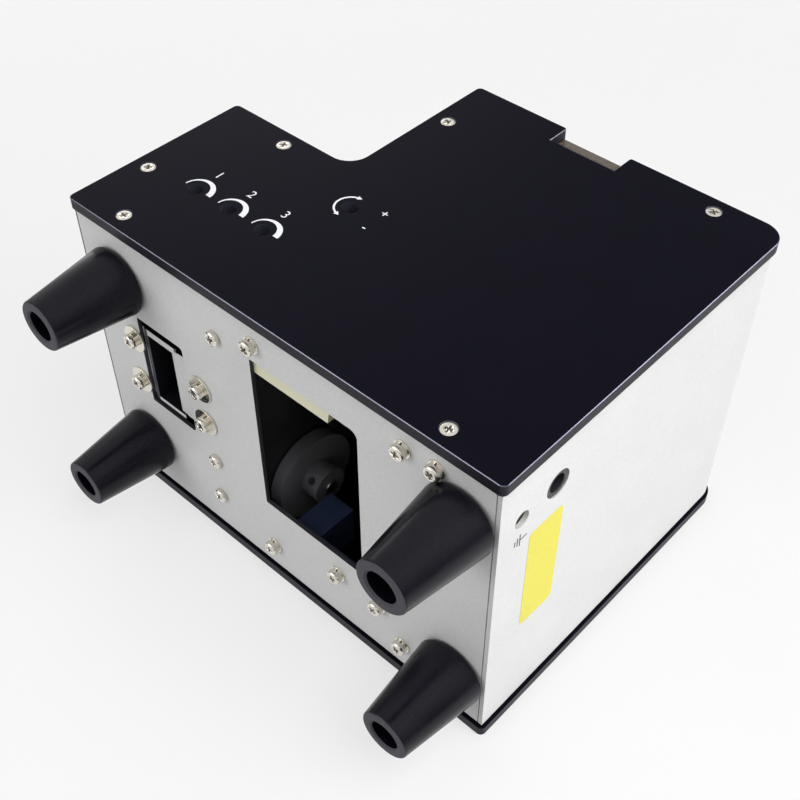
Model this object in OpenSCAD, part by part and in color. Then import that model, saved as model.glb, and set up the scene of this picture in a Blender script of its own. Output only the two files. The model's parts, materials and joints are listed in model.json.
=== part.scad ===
/* [Body] */
// Overall width across the side plates
body_w = 125; // [122:0.5:132]
// Overall depth of the side plates
body_d = 180; // [178:0.5:190]
// Height of the side plates, without the feet
body_h = 139; // [137:0.5:146]
// Height of the low front section
front_h = 73; // [72:0.25:75]
// Depth of the low front section
step_y = 55.4; // [54.4:0.2:56.4]

/* [Side plates] */
// Thickness of a side plate
plate_t = 4; // [3:0.25:4.5]
// Radius of the rear top corner and of the step
corner_r = 8; // [6:0.5:9]
// Radius of the small plate corners
edge_r = 2; // [1:0.25:3]
// Length of the finger notch
notch_l = 26.2; // [20:0.2:32]
// Depth of the finger notch
notch_depth = 9.6; // [7:0.2:12]
// Distance of the finger notch from the front, to its middle
notch_y = 107.6; // [100:0.2:112]
// Diameter of a trimmer access hole
trim_hole_d = 5.6; // [5:0.2:7]
// Diameter of the gate access hole
gate_hole_d = 6; // [5.5:0.1:7]

/* [Sheets] */
// Thickness of the folded sheets
sheet_t = 1.5; // [1.2:0.1:2]
// How far the sheets sit inside the plate outline
sheet_inset = 1; // [0.5:0.1:1.5]
// Outer radius of a folded edge
bend_r = 2.4; // [2.1:0.1:3]
// Height of a folded side flange
flange_h = 13; // [11:0.5:14]
// Length left unfolded at the end of a sheet
relief_l = 15.6; // [15:0.2:18]
// How far the front panel sits behind the plate edges
panel_recess = 2.2; // [2:0.1:2.6]

/* [Feet] */
// Height of a rubber foot
foot_h = 31; // [25:0.5:40]
// Diameter of a foot against the bottom plate
foot_base_d = 25; // [23:0.5:26]
// Diameter of a foot at the floor
foot_tip_d = 18; // [15:0.5:20]
// Diameter of the recess in a foot
foot_recess_d = 10.5; // [9.5:0.25:12]
// Mean distance of a foot's axis from the inside of its side plate
foot_side = 20.5; // [19.5:0.5:21.5]
// Offset of the feet's middle line from the body's middle
foot_shift = 0.8; // [0:0.1:1]
// Distance of the front feet from the front
foot_front_y = 19.6; // [17:0.2:20]
// Distance of the rear feet from the back
foot_rear_y = 14; // [13.4:0.2:15]

/* [Lid] */
// Thickness of the clear lid
lid_t = 4; // [3:0.25:5]
// Gap around the lid
lid_gap = 0.3; // [0.2:0.05:0.6]
// Length of the top strip behind the lid
strip_l = 30; // [28:0.5:32]

/* [Rail] */
// Offset of the rail, chute and drum from the middle
rail_x = 5; // [4:0.25:6]
// Width of one rail bar
bar_w = 4.5; // [3.5:0.25:5]
// Width of the slot between the rail bars
rail_slot = 3; // [2:0.25:3.5]
// Height of a rail bar
bar_h = 12; // [10:0.5:13]
// Height of the rail's underside above the plate edge
rail_z = 72; // [70:0.25:73]
// Distance of the rail's outlet end from the front
rail_front_y = 34; // [32:0.5:36]

/* [Drum] */
// Height of the drum's axis above the plate edge
drum_z = 76; // [74:0.5:78]
// Inner radius of the drum
drum_r = 41; // [39:0.5:42]
// Wall of the drum and of the hopper
wall_t = 2.5; // [2:0.1:3]
// Length of the drum
drum_l = 36; // [33:0.5:37]
// Number of lifting vanes
vane_n = 6; // [4:1:8]
// Depth of a lifting vane
vane_depth = 10; // [7:0.5:10.5]
// Radius of the drive wheel
wheel_r = 17; // [15:0.5:18]
// Width of the drive and idler wheels
wheel_w = 5; // [4:0.25:5.5]
// Distance of the motor axis from the middle, to the left
motor_x = 31.5; // [30:0.25:33]
// Height of the motor axis above the plate edge
motor_z = 24.5; // [23.5:0.25:27]

/* [Outlets] */
// Width of the outlet in the bottom plate
outlet_w = 39.5; // [38:0.5:42]
// Distance of the outlet from the front
outlet_y = 24.3; // [23:0.2:25]
// Length of the outlet
outlet_l = 23; // [21:0.5:24]
// Width of the drop chute
chute_w = 35; // [32:0.5:36.5]
// Length of the drop chute
chute_l = 14.2; // [13:0.2:15.4]
// Width of the service window in the bottom plate
window_w = 67.3; // [60:0.5:69]
// Length of the service window
window_l = 45; // [38:0.5:47]

/* [Controls] */
// Height of the three trimmers above the plate edge
trim_z = 30.4; // [28:0.2:33]
// Distance of the first trimmer from the front
trim_y = 27.4; // [26:0.2:29]
// Distance between trimmers
trim_pitch = 15.6; // [14:0.2:16]
// Distance of the gate shaft from the front
gate_y = 70.8; // [70:0.1:71.2]
// Height of the gate shaft above the plate edge
gate_z = 57.1; // [56:0.2:59]
// Throw of the gate crank
gate_throw = 3; // [2:0.1:3.4]
// Diameter of a push button
button_d = 9; // [7:0.25:10]
// Travel of a push button
button_travel = 1.2; // [0.8:0.1:1.3]

/* [Fasteners] */
// Thread diameter of the sheet screws
screw_d = 2.6; // [2.2:0.1:3]
// Diameter of a small flat washer
washer_d = 6.2; // [5.6:0.1:6.6]
// Diameter of a large chute washer
big_washer_d = 10.4; // [9:0.2:11]
// Distance of the side screws from the sheet faces
screw_edge = 6.2; // [5.8:0.1:6.6]

/* [Hidden] */
$fn = 48;

// Clearances shared by all pieces
fit = 0.05;          // radial room of a screw or shaft in its hole
drill_room = 0.3;    // added to a screw's diameter where it passes a sheet
slot_room = 0.8;     // added where a hole lets the screw find its place
run_gap = 0.3;       // room between pieces that move past each other
snug = 0.1;          // room around a piece that is pushed into a cut-out
seam = 0.4;          // visible joint between two sheets
eps = 0.01;          // overlap that keeps a cut open
past = 1;            // how far a cut runs past the face it opens

// Colours
plate_black = [0.09, 0.09, 0.13];
silver = [0.76, 0.77, 0.77];
steel = [0.72, 0.70, 0.64];
cream = [0.90, 0.89, 0.74];
rubber_black = [0.07, 0.07, 0.10];
dark_blue = [0.10, 0.13, 0.22];
dark_grey = [0.20, 0.20, 0.22];
wheel_grey = [0.55, 0.55, 0.57];
alloy = [0.45, 0.46, 0.48];
moulded_black = [0.11, 0.11, 0.12];
board_green = [0.06, 0.30, 0.17];
clear_smoke = [0.62, 0.55, 0.50, 0.45];

// Shell of plates and sheets
in_w = body_w / 2 - plate_t;
relief_gap = 1.2;
relief_end = 1;
slab_w = 2 * (in_w - relief_gap);
rear_y = body_d - sheet_inset;
rear_in_y = rear_y - sheet_t;
top_z = body_h - sheet_inset;
deck_z = front_h - sheet_inset;
deck_in_z = deck_z - sheet_t;
riser_y = step_y + sheet_inset;
floor_z = sheet_inset + sheet_t;
panel_y = panel_recess + sheet_t;
strip_y = body_d - strip_l;
strip_gap = 0.5;
outlet_r = 1.6;
window_r = 3;
opening_front_r = 0.6;
lid_sink = 0.2;
lid_top = body_h - lid_sink;
lid_z = lid_top - lid_t;
lip_l = 6.5;
lid_y0 = riser_y + lip_l + lid_gap;
lid_y1 = strip_y - lid_gap;
ledge_w = 6;
ledge_h = 4;
ledge_front_gap = 1.6;
ledge_rear_gap = 4;
ledge_z = lid_z - ledge_h;
ledge_y0 = riser_y + flange_h + ledge_front_gap;
ledge_y1 = strip_y - ledge_rear_gap;
foot_x = in_w - foot_side;

// Side screws, as distances from the front and from the lower edge
panel_screw = [panel_recess + 4.2, 27.8];
floor_screw = [21, screw_edge];
deck_screw = [30, front_h - screw_edge];
riser_screw = [step_y + screw_edge, body_h - 24.3];
strip_screw = [body_d - 23.3, body_h - screw_edge];
rear_screw = [body_d - 23.8, screw_edge];
side_screw_at = [panel_screw, floor_screw, deck_screw, riser_screw, strip_screw, rear_screw];
side_head_d = 2 * screw_d;
side_head_h = 1.5;
side_head_sink = 0.1;
side_hole_room = 0.4;
side_screw_past = 1.4;
side_screw_l = plate_t + sheet_t + side_screw_past;

// Bottom screws with their washers
foot_screw_d = 5;
foot_screw_seat = 9;
foot_screw_past = 0.3;
right_leg_side = 8.5;
left_leg_side = 12.1;
leg_right = in_w - right_leg_side;
leg_left = in_w - left_leg_side;
leg_at = [leg_right, -leg_left];
front_leg_y = 84;
rear_leg_back = 35.5;
rear_leg_y = body_d - rear_leg_back;
motor_screw_dx = 9.2;
motor_screw_y = 57;
module_screw_x = 34;
module_screw_y = [115.7, 134.1];
board_screw = [in_w - 16.6, 66.2];
earth_screw_ahead = 9;
earth_screw = [foot_shift + foot_x + foot_base_d / 2, body_d - foot_rear_y - earth_screw_ahead];
plain_screw_at = [
    board_screw, [-motor_x - motor_screw_dx, motor_screw_y], [-motor_x + motor_screw_dx, motor_screw_y]
];
washer_screw_at = [
    [leg_right, front_leg_y], [leg_right, rear_leg_y], earth_screw,
    [-leg_left, front_leg_y], [-leg_left, rear_leg_y],
    [-module_screw_x, module_screw_y[0]], [-module_screw_x, module_screw_y[1]]
];
washer_t = 0.5;
big_washer_t = 0.8;
spring_t = 0.8;
spring_split = 0.5;
pan_d = 2.1 * screw_d;
pan_h = 1.9;
pan_l = 5.5;
nut_h = 2.2;
foot_nut_h = 3.2;
tab_t = 2.5;
tab_half = 6;
tap_h = 8;

// Drop chute and its four screws
chute_front_gap = 2;
chute_y = outlet_y + chute_front_gap;
chute_y1 = chute_y + chute_l;
chute_t = 1.5;
chute_sink = 0.6;
chute_x0 = rail_x - chute_w / 2;
chute_x1 = rail_x + chute_w / 2;
chute_flange_in = 1;
chute_flange_front = 13;
chute_flange_rear = 20;
chute_screw_at = [
    [rail_x + 8.3, chute_y - 5.2], [rail_x - 11.7, chute_y - 5.8],
    [rail_x + 6.5, chute_y1 + 14], [rail_x - 8.9, chute_y1 + 14.4]
];

// Drum, drive and hopper
gate_to_bulk = 2.8;
bulk_y = gate_y + gate_to_bulk;
bulk_t = 2.5;
bulk_y1 = bulk_y + bulk_t;
bulk_side = 2;
bulk_top_gap = 2;
drum_gap = 0.4;
drum_y = bulk_y1 + drum_gap;
drum_wall = 2;
vane_t = 2;
vane_front = 3.5;
vane_rear = 1.5;
vane_root = 0.6;
drive_dx = rail_x + motor_x;
drive_dz = drum_z - motor_z;
rim_r = sqrt(drive_dx * drive_dx + drive_dz * drive_dz) - wheel_r - run_gap;
idler_r = 10;
idler_dx = 34;
idler_reach = rim_r + run_gap + idler_r;
idler_x = rail_x + idler_dx;
idler_z = drum_z - sqrt(idler_reach * idler_reach - idler_dx * idler_dx);
idler_bore = 5;
idler_head_t = 1.5;
shaft_d = 5;
shaft_past = 1;
hub_d = 14;
hub_l = 7;
set_screw_d = 3;
set_screw_turn = 140;
wheel_y0 = drum_y;
wheel_y1 = drum_y + wheel_w;
bracket_t = 3;
bracket_front = 6;
bracket_reach = 7;
motor_plate_y = motor_screw_y + bracket_reach;
gearbox_d = 32;
gearbox_l = 20;
gearbox_y = motor_plate_y - bracket_t - gearbox_l;
can_d = 27;
can_gap = 5;
can_boss_d = 9;
can_boss_l = 2;
spigot_l = 8.5;
spigot_room = 0.1;
spigot_r = drum_r - spigot_room;
bin_gap = 0.5;
bin_rear_gap = 3;
bin_step = 0.4;
bin_side_gap = 1.5;
bin_y0 = drum_y + drum_l + bin_gap;
bin_y1 = strip_y - bin_rear_gap;
bin_r = spigot_r - bin_step;
bin_half = in_w - sheet_t - bin_side_gap - rail_x;
shoulder_rise = 16;
shoulder_z = drum_z + shoulder_rise;
bin_top = ledge_z;
leg_w = 10;
leg_front = 5;
leg_rise = 6;
beam_side = 20.7;
beam_x = in_w - beam_side;
beam_w = 5.2;
beam_h = 6.5;
beam_ahead = 3;
beam_y = front_leg_y - beam_ahead;
window_ahead = 2;
window_y = front_leg_y - window_ahead;
window_x = beam_x + beam_w - window_w;
module_gap = 11;
module_l = 11;
module_left = 10;
module_h = 18;
module_y0 = window_y + module_gap;
module_y1 = module_y0 + module_l;

// Rail and vibrator
rail_w = 2 * bar_w + rail_slot;
rail_x0 = rail_x - rail_w / 2;
rail_x1 = rail_x + rail_w / 2;
rail_end_gap = 0.8;
rail_back_y = drum_y + drum_l - spigot_l - rail_end_gap;
rail_top = rail_z + bar_h;
carrier_ahead = 5.4;
carrier_l = 18;
carrier_h = 12;
carrier_y0 = step_y - carrier_ahead;
carrier_y1 = carrier_y0 + carrier_l;
carrier_z = rail_z - carrier_h;
leaf_t = 0.8;
leaf_in = 1;
base_z = 8;
base_h = 12;
base_w = 20;
base_rise = 18;
base_top = base_z + base_h;
base_step_gap = 1.6;
armature_h = 5;
armature_in = 3.5;
armature_y0 = carrier_y0 + armature_in;
armature_y1 = carrier_y1 - armature_in;
coil_gap = 0.8;
coil_core_w = 6;
coil_core_in = 2;
coil_cheek = 1.5;
coil_bare = 2;
coil_in = 1;
coil_top = carrier_z - armature_h - coil_gap;
coil_head = coil_top - coil_bare - coil_cheek;
catcher_t = 1.2;
catcher_rise = 10;
catcher_lap = 4;
catcher_gap = 4;

// Gate with its crank and guide
gate_d = 5;
gate_bar_gap = 6;
gate_bar_t = 3;
gate_bar_x = rail_x1 + gate_bar_gap;
gate_bar_x1 = gate_bar_x + gate_bar_t;
gate_bar_ahead = 6.8;
gate_bar_behind = 0.7;
gate_bar_low = 6;
gate_bar_y0 = gate_y - gate_bar_ahead;
gate_bar_y1 = gate_y + gate_bar_behind;
gate_pin_d = 3;
gate_pin_past = 0.5;
gate_slot_room = 0.35;
gate_crank_x = gate_bar_x1 + run_gap;
gate_crank_t = 4;
gate_hold_gap = 4;
gate_hold_x = gate_crank_x + gate_crank_t + gate_hold_gap;
gate_hold_l = 9;
gate_hold_half = 5;
gate_guide_wall = 3;
gate_guide_h = 6;
gate_web_t = 2.2;
gate_web_gap = 1;
gate_end_gap = 0.4;
driver_slot_w = 1;
driver_slot_depth = 1.2;
blade_gap = 8.5;
blade_h = 7;
blade_t = 2;
blade_past = 2;
blade_z = rail_top + blade_gap;
slot_side = 8;
slot_half = rail_w / 2 + slot_side;
slot_ahead = 1.5;
slot_y = outlet_y - slot_ahead;
slot_rise = 9;
slot_top = blade_z + slot_rise;
bulk_slot_side = 5;
slot_edge = rail_x + slot_half + bulk_slot_side;
bulk_slot_low = 10;

// Count sensor and hood
sensor_w = 9;
sensor_l = 10;
sensor_h = 15;
sensor_r = 1;
sensor_eye_d = 4;
sensor_eye_top = 5;
sensor_eye_depth = 1.5;
sensor_gap = 1;
sensor_x = slot_half + sensor_w / 2 + sensor_gap;
sensor_y = chute_y + chute_l / 2;
hood_t = 2;
hood_ahead = 4;
hood_rise = 3;
hood_x = sensor_x + sensor_w / 2 + sensor_gap + hood_t;
hood_y0 = slot_y - hood_ahead;
hood_y1 = riser_y - run_gap;
hood_top = slot_top + hood_rise;

// Control board with its trimmers
board_t = 1.6;
board_side = 12.1;
board_x = in_w - board_side;
board_x1 = board_x + board_t;
board_front = 7;
board_rear = 8;
board_low = 16;
board_high = 17;
board_y0 = trim_y - board_front;
board_y1 = trim_y + 2 * trim_pitch + board_rear;
board_hold_t = 1.5;
board_hold_lap = 14;
board_hold_behind = 5;
board_hold_rise = 13;
case_w = 9;
case_l = 7;
case_x = board_x1 + case_l;
rotor_d = 4.4;
rotor_l = 2.6;
rotor_sink = 0.6;
rotor_x = case_x - rotor_sink;
rotor_tail = 0.9;
rotor_slot = 0.8;

// Front panel: display, buttons and power switch
lens_w = 40;
lens_h = 18;
lens_side = 14.5;
lens_top_gap = 13;
lens_proud = 0.4;
lens_past = 0.8;
lens_x = -in_w + lens_side;
lens_z = front_h - lens_top_gap - lens_h;
standoff_d = 5;
standoff_low = 16;
standoff_up = 3;
standoff_side = 3;
display_gap = 6.3;
display_board_y = panel_y + display_gap;
display_margin = 4;
display_in = 1;
button_z = 24;
start_x = lens_x + lens_w + 12;
plus_x = lens_x + 24;
minus_x = lens_x + 6;
button_at = [start_x, plus_x, minus_x];
button_room = 0.6;
button_sink = 0.4;
button_flange_t = 1.2;
button_flange_d = button_d + 2.4;
button_back = panel_y + run_gap + button_flange_t;
key_half = 3;
key_gap = 0.2;
start_margin = 9;
switch_side = 18.5;
switch_x = in_w - switch_side;
switch_drop = 23;
switch_z = front_h - switch_drop;
switch_w = 13;
switch_h = 19;
switch_rim = 1;
switch_l = 13;
rocker_tilt = 8;
rocker_half = 7;
rocker_w = 9.6;
rocker_room = 0.4;
rocker_end_room = 1;
rocker_depth = 3;
rocker_pin_d = 2;
rocker_pin_l = 1.2;
rocker_pin_room = 0.2;
rocker_back = 3.4;
rocker_proud = 0.4;
rocker_dish = 1;
rocker_heel = 1.2;
rocker_edge = 0.6;
rocker_pivot_y = panel_y + rocker_back;

// Sockets in the rear plate
jack_side = 18;
jack_x = in_w - jack_side;
jack_z = 26.6;
jack_d = 10;
jack_flange = 1.6;
jack_l = 13;
jack_bore = 6.4;
jack_bore_l = 9;
jack_pin_d = 2;
jack_sink = 0.3;
earth_side = 19.1;
earth_x = in_w - earth_side;
earth_z = 10.8;
earth_hole_d = 6;
earth_bore_d = 4.1;
earth_bore_l = 11;
earth_d = 9;
earth_l = 12;
earth_web_t = 2;
earth_web_gap = 6;
earth_half = 4.5;
earth_tab_left = 5;
earth_tab_right = 4.6;
earth_low = 4.6;
earth_high = 5;

// Body frame: depth from the front edge, height from the lower plate edge
module in_body() translate([0, -body_d / 2, foot_h]) children();

// Sections extruded along one axis between two places
module along_x(x0, x1) translate([x0, 0, 0]) rotate([90, 0, 90]) linear_extrude(x1 - x0) children();
module along_y(y0, y1) translate([0, y1, 0]) rotate([90, 0, 0]) linear_extrude(y1 - y0) children();
module along_z(z0, z1) translate([0, 0, z0]) linear_extrude(z1 - z0) children();

// Round bars along an axis
module bar_x(x0, x1, d) translate([x0, 0, 0]) rotate([0, 90, 0]) cylinder(d = d, h = x1 - x0);
module bar_y(y0, y1, d) translate([0, y0, 0]) rotate([-90, 0, 0]) cylinder(d = d, h = y1 - y0);

// Box given by its two corners
module block(lo, hi) translate(lo) cube(hi - lo);

// What is cut off a square corner at the origin to round it
module corner_waste(r) difference() {
    translate([-past, -past]) square(r + past);
    translate([r, r]) circle(r);
}

// Rectangle from the origin with its corners rounded
module round_rect(w, h, r, front_r) difference() {
    square([w, h]);
    corner_waste(front_r);
    translate([w, 0]) mirror([1, 0]) corner_waste(front_r);
    translate([0, h]) mirror([0, 1]) corner_waste(r);
    translate([w, h]) rotate(180) corner_waste(r);
}

// Rectangle standing on the axis with its two lower corners rounded
module tray_section(w, h, r) difference() {
    translate([-w / 2, 0]) square([w, h]);
    translate([-w / 2, 0]) corner_waste(r);
    translate([w / 2, 0]) mirror([1, 0]) corner_waste(r);
}

// Folded sheet: a web with a flange at each side
module channel() difference() {
    tray_section(2 * in_w, flange_h, bend_r);
    translate([0, sheet_t]) tray_section(2 * (in_w - sheet_t), flange_h, bend_r - sheet_t);
}

// Quarter of a folded bend, about its centre, in the quadrant given by two signs
module bend(r_out, sy, sz) intersection() {
    difference() {
        circle(r_out);
        circle(r_out - sheet_t);
    }
    scale_sign(sy, sz) square(r_out + past);
}
module scale_sign(sy, sz) mirror([sy < 0 ? 1 : 0, 0]) mirror([0, sz < 0 ? 1 : 0]) children();

// Outline of a side plate, front at the left
module plate_outline() {
    difference() {
        union() {
            square([body_d, front_h]);
            translate([step_y, 0]) square([body_d - step_y, body_h]);
            difference() {
                translate([step_y - corner_r, front_h - eps]) square(corner_r + eps);
                translate([step_y - corner_r, front_h + corner_r]) circle(corner_r);
            }
        }
        corner_waste(edge_r);
        translate([body_d, 0]) mirror([1, 0]) corner_waste(edge_r);
        translate([0, front_h]) mirror([0, 1]) corner_waste(edge_r);
        translate([step_y, body_h]) mirror([0, 1]) corner_waste(edge_r);
        translate([body_d, body_h]) rotate(180) corner_waste(corner_r);
        notch_cut();
    }
}

// Finger notch with eased mouth corners
module notch_cut() {
    translate([notch_y - notch_l / 2, body_h - notch_depth]) square([notch_l, notch_depth + past]);
    translate([notch_y - notch_l / 2, body_h]) rotate(180) corner_waste(edge_r / 2);
    translate([notch_y + notch_l / 2, body_h]) mirror([0, 1]) corner_waste(edge_r / 2);
}

// Cut for one countersunk side screw, axis along X with its head outwards
module side_screw_cut() {
    bar_x(-past, plate_t + past, screw_d + side_hole_room);
    translate([plate_t - side_head_h - side_head_sink, 0, 0]) rotate([0, 90, 0]) cylinder(
        d1 = screw_d + side_hole_room / 2, d2 = side_head_d + side_hole_room,
        h = side_head_h + side_head_sink + eps
    );
}

// Side plate lying outwards from the origin
module side_plate() difference() {
    along_x(0, plate_t) plate_outline();
    for (p = side_screw_at) translate([0, p[0], p[1]]) side_screw_cut();
}

module right_side_plate() color(plate_black) in_body() translate([in_w, 0, 0]) difference() {
    side_plate();
    at_trimmers() bar_x(-past, plate_t + past, trim_hole_d);
    translate([0, gate_y, gate_z]) bar_x(-past, plate_t + past, gate_hole_d);
}

module left_side_plate() color(plate_black) in_body() mirror([1, 0, 0]) translate([in_w, 0, 0]) side_plate();

// Tapped holes in the side flanges
module flange_holes() for (p = side_screw_at) translate([0, p[0], p[1]])
    bar_x(-in_w - past, in_w + past, screw_d + 2 * fit);

// Places of all bottom screws
module at_bottom_screws() for (p = concat(plain_screw_at, washer_screw_at)) translate(p) children();
module at_feet() for (sx = [-1, 1]) for (y = [foot_front_y, body_d - foot_rear_y])
    translate([foot_shift + sx * foot_x, y, 0]) children();

module bottom_plate() color(silver) in_body() difference() {
    union() {
        translate([0, 0, sheet_inset]) along_y(relief_l, body_d - relief_l) channel();
        block([-slab_w / 2, sheet_inset, sheet_inset], [slab_w / 2, rear_in_y - seam, floor_z]);
    }
    flange_holes();
    along_z(0, floor_z + past) bottom_openings();
    at_bottom_screws() cylinder(d = screw_d + drill_room, h = floor_z + past);
    for (p = chute_screw_at) translate(p) cylinder(d = screw_d + slot_room, h = floor_z + past);
    at_feet() cylinder(d = foot_screw_d + drill_room, h = floor_z + past);
}

// Screw outlet and service window seen from above
module bottom_openings() {
    translate([rail_x - outlet_w / 2, outlet_y]) round_rect(outlet_w, outlet_l, outlet_r, opening_front_r);
    translate([window_x, window_y]) round_rect(window_w, window_l, window_r, opening_front_r);
}

module front_panel() color(silver) in_body() difference() {
    union() {
        translate([0, panel_recess, 0]) along_z(relief_l, front_h - relief_l) channel();
        block([-slab_w / 2, panel_recess, floor_z + seam], [slab_w / 2, panel_y, deck_in_z - seam]);
        at_standoffs() bar_y(panel_y - eps, display_board_y, standoff_d);
    }
    flange_holes();
    block([lens_x, 0, lens_z], [lens_x + lens_w, panel_y + past, lens_z + lens_h]);
    for (x = button_at) translate([x, 0, button_z]) bar_y(0, panel_y + past, button_d + button_room);
    block(
        [switch_x - switch_w / 2, 0, switch_z - switch_h / 2],
        [switch_x + switch_w / 2, panel_y + past, switch_z + switch_h / 2]
    );
}

// Posts that carry the display board
module at_standoffs() for (x = [lens_x - standoff_side, start_x + start_margin])
    for (z = [standoff_low, lens_z + lens_h + standoff_up]) translate([x, 0, z]) children();

// Deck, step and riser drawn as one folded section
module step_section() {
    translate([sheet_inset, deck_in_z]) square([step_y - corner_r - sheet_inset, sheet_t]);
    translate([step_y - corner_r, front_h + corner_r]) bend(corner_r + floor_z, 1, -1);
    translate([riser_y, front_h + corner_r]) square([sheet_t, top_z - front_h - corner_r - bend_r]);
    translate([riser_y + bend_r, top_z - bend_r]) bend(bend_r, -1, 1);
    translate([riser_y + bend_r, top_z - sheet_t]) square([lip_l - bend_r, sheet_t]);
}

module step_cover() color(silver) in_body() difference() {
    union() {
        along_x(-slab_w / 2, slab_w / 2) step_section();
        translate([0, 0, deck_z]) mirror([0, 0, 1])
            along_y(relief_l + relief_end, step_y - corner_r - relief_end) channel();
        translate([0, riser_y, 0]) along_z(front_h + corner_r + 2 * relief_end, body_h - relief_l) channel();
    }
    flange_holes();
    block(
        [rail_x - slot_half, slot_y, deck_in_z - past],
        [rail_x + slot_half, riser_y + sheet_t + past, slot_top]
    );
    for (sx = [-1, 1]) translate([rail_x + sx * sensor_x, sensor_y, deck_in_z - past])
        cylinder(d = screw_d + drill_room, h = sheet_t + 2 * past);
}

// Rear face, rear top bend and top strip as one folded section
module rear_section() {
    translate([rear_in_y, sheet_inset]) square([sheet_t, body_h - corner_r - sheet_inset]);
    translate([body_d - corner_r, body_h - corner_r]) bend(corner_r - sheet_inset, 1, 1);
    translate([strip_y, top_z - sheet_t]) square([strip_l - corner_r, sheet_t]);
}

module rear_plate() color(silver) in_body() difference() {
    union() {
        along_x(-slab_w / 2, slab_w / 2) rear_section();
        translate([0, rear_y, 0]) mirror([0, 1, 0])
            along_z(relief_l, body_h - corner_r - 2 * relief_end) channel();
        translate([0, 0, top_z]) mirror([0, 0, 1])
            along_y(strip_y + strip_gap, body_d - relief_l - relief_end) channel();
    }
    flange_holes();
    translate([jack_x, 0, jack_z]) bar_y(rear_in_y - past, body_d, jack_d);
    translate([earth_x, 0, earth_z]) bar_y(rear_in_y - past, body_d, earth_hole_d);
}

module lid() color(clear_smoke) in_body()
    block([-in_w + lid_gap, lid_y0, lid_z], [in_w - lid_gap, lid_y1, lid_top]);

module lid_ledges() color(plate_black) in_body() for (sx = [0, 1]) mirror([sx, 0, 0])
    block([in_w - ledge_w, ledge_y0, ledge_z], [in_w, ledge_y1, lid_z]);

// Rubber foot hanging from the bottom plate
module foot() translate([0, 0, sheet_inset]) {
    shoulder = 2;
    tip_round = 0.6;
    foot_l = foot_h + sheet_inset;
    recess_l = foot_l - foot_screw_seat;
    tip = foot_tip_d / 2;
    base = foot_base_d / 2;
    color(rubber_black) rotate_extrude() difference() {
        union() {
            polygon([
                [0, -foot_l], [tip - tip_round, -foot_l], [tip, -foot_l + tip_round],
                [base, -shoulder], [0, -shoulder]
            ]);
            translate([0, -shoulder - eps]) square([base - shoulder, shoulder + eps]);
            translate([base - shoulder, -shoulder]) intersection() {
                circle(shoulder);
                translate([0, -eps]) square(shoulder + eps);
            }
        }
        translate([-past, -foot_l - past]) square([foot_recess_d / 2 + past, recess_l + past]);
        translate([-past, -foot_l]) square([foot_screw_d / 2 + fit + past, foot_l + past]);
    }
}
module foot_front_right() in_body() translate([foot_shift + foot_x, foot_front_y, 0]) foot();
module foot_front_left() in_body() translate([foot_shift - foot_x, foot_front_y, 0]) foot();
module foot_rear_right() in_body() translate([foot_shift + foot_x, body_d - foot_rear_y, 0]) foot();
module foot_rear_left() in_body() translate([foot_shift - foot_x, body_d - foot_rear_y, 0]) foot();

// Cross recess cut into a screw head from its top face
module cross_cut(size, depth) for (a = [0, 90]) rotate(a)
    translate([-size / 2, -size / 8, -depth]) cube([size, size / 4, depth + past]);

// Pan head screw: shank up from the origin, head below it
module pan_screw(d, head_d, head_h, l) difference() {
    round_r = 0.45 * head_h;
    union() {
        cylinder(d = d, h = l);
        rotate_extrude() mirror([0, 1]) {
            square([head_d / 2, head_h - round_r]);
            square([head_d / 2 - round_r, head_h]);
            translate([head_d / 2 - round_r, head_h - round_r]) circle(round_r);
        }
    }
    translate([0, 0, -head_h]) mirror([0, 0, 1]) cross_cut(0.55 * head_d, 0.5 * head_h);
}

module foot_screws() color(steel) in_body() at_feet() translate([0, 0, sheet_inset - foot_screw_seat])
    pan_screw(
        foot_screw_d, 1.7 * foot_screw_d, 0.6 * foot_screw_d,
        foot_screw_seat + sheet_t + foot_nut_h + foot_screw_past
    );

// Hexagon nut on a screw
module nut(d, h) difference() {
    cylinder(d = 1.9 * d, h = h, $fn = 6);
    translate([0, 0, -past]) cylinder(d = d + 2 * fit, h = h + 2 * past);
}

module nuts() color(steel) in_body() {
    at_feet() translate([0, 0, floor_z]) nut(foot_screw_d, foot_nut_h);
    for (p = chute_screw_at) translate([p[0], p[1], floor_z + chute_t]) nut(screw_d, nut_h);
}

// Countersunk screw along X with its head at the origin, shank inwards
module side_screw() difference() {
    union() {
        translate([-side_head_h, 0, 0]) rotate([0, 90, 0])
            cylinder(d1 = screw_d, d2 = side_head_d, h = side_head_h);
        bar_x(-side_screw_l, -side_head_h + eps, screw_d);
    }
    rotate([0, 90, 0]) rotate(45) cross_cut(0.55 * side_head_d, 0.65 * side_head_h);
}

module side_screws() color(steel) in_body() for (sx = [0, 1]) mirror([sx, 0, 0])
    for (p = side_screw_at) translate([body_w / 2 - side_head_sink, p[0], p[1]]) side_screw();

module pan_screws() color(steel) in_body() translate([0, 0, sheet_inset]) {
    for (p = plain_screw_at) translate(p) pan_screw(screw_d, pan_d, pan_h, pan_l);
    for (p = washer_screw_at) translate([p[0], p[1], -washer_t - spring_t])
        pan_screw(screw_d, pan_d, pan_h, pan_l + washer_t + spring_t);
    for (p = chute_screw_at) translate([p[0], p[1], -big_washer_t - spring_t])
        pan_screw(screw_d, pan_d, pan_h, pan_l + big_washer_t + spring_t);
}

// Flat ring hanging from the origin
module ring(d_out, d_in, h) translate([0, 0, -h]) difference() {
    cylinder(d = d_out, h = h);
    translate([0, 0, -past]) cylinder(d = d_in, h = h + 2 * past);
}

module flat_washers() color(steel) in_body() for (p = washer_screw_at)
    translate([p[0], p[1], sheet_inset]) ring(washer_d, screw_d + 2 * fit, washer_t);

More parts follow.
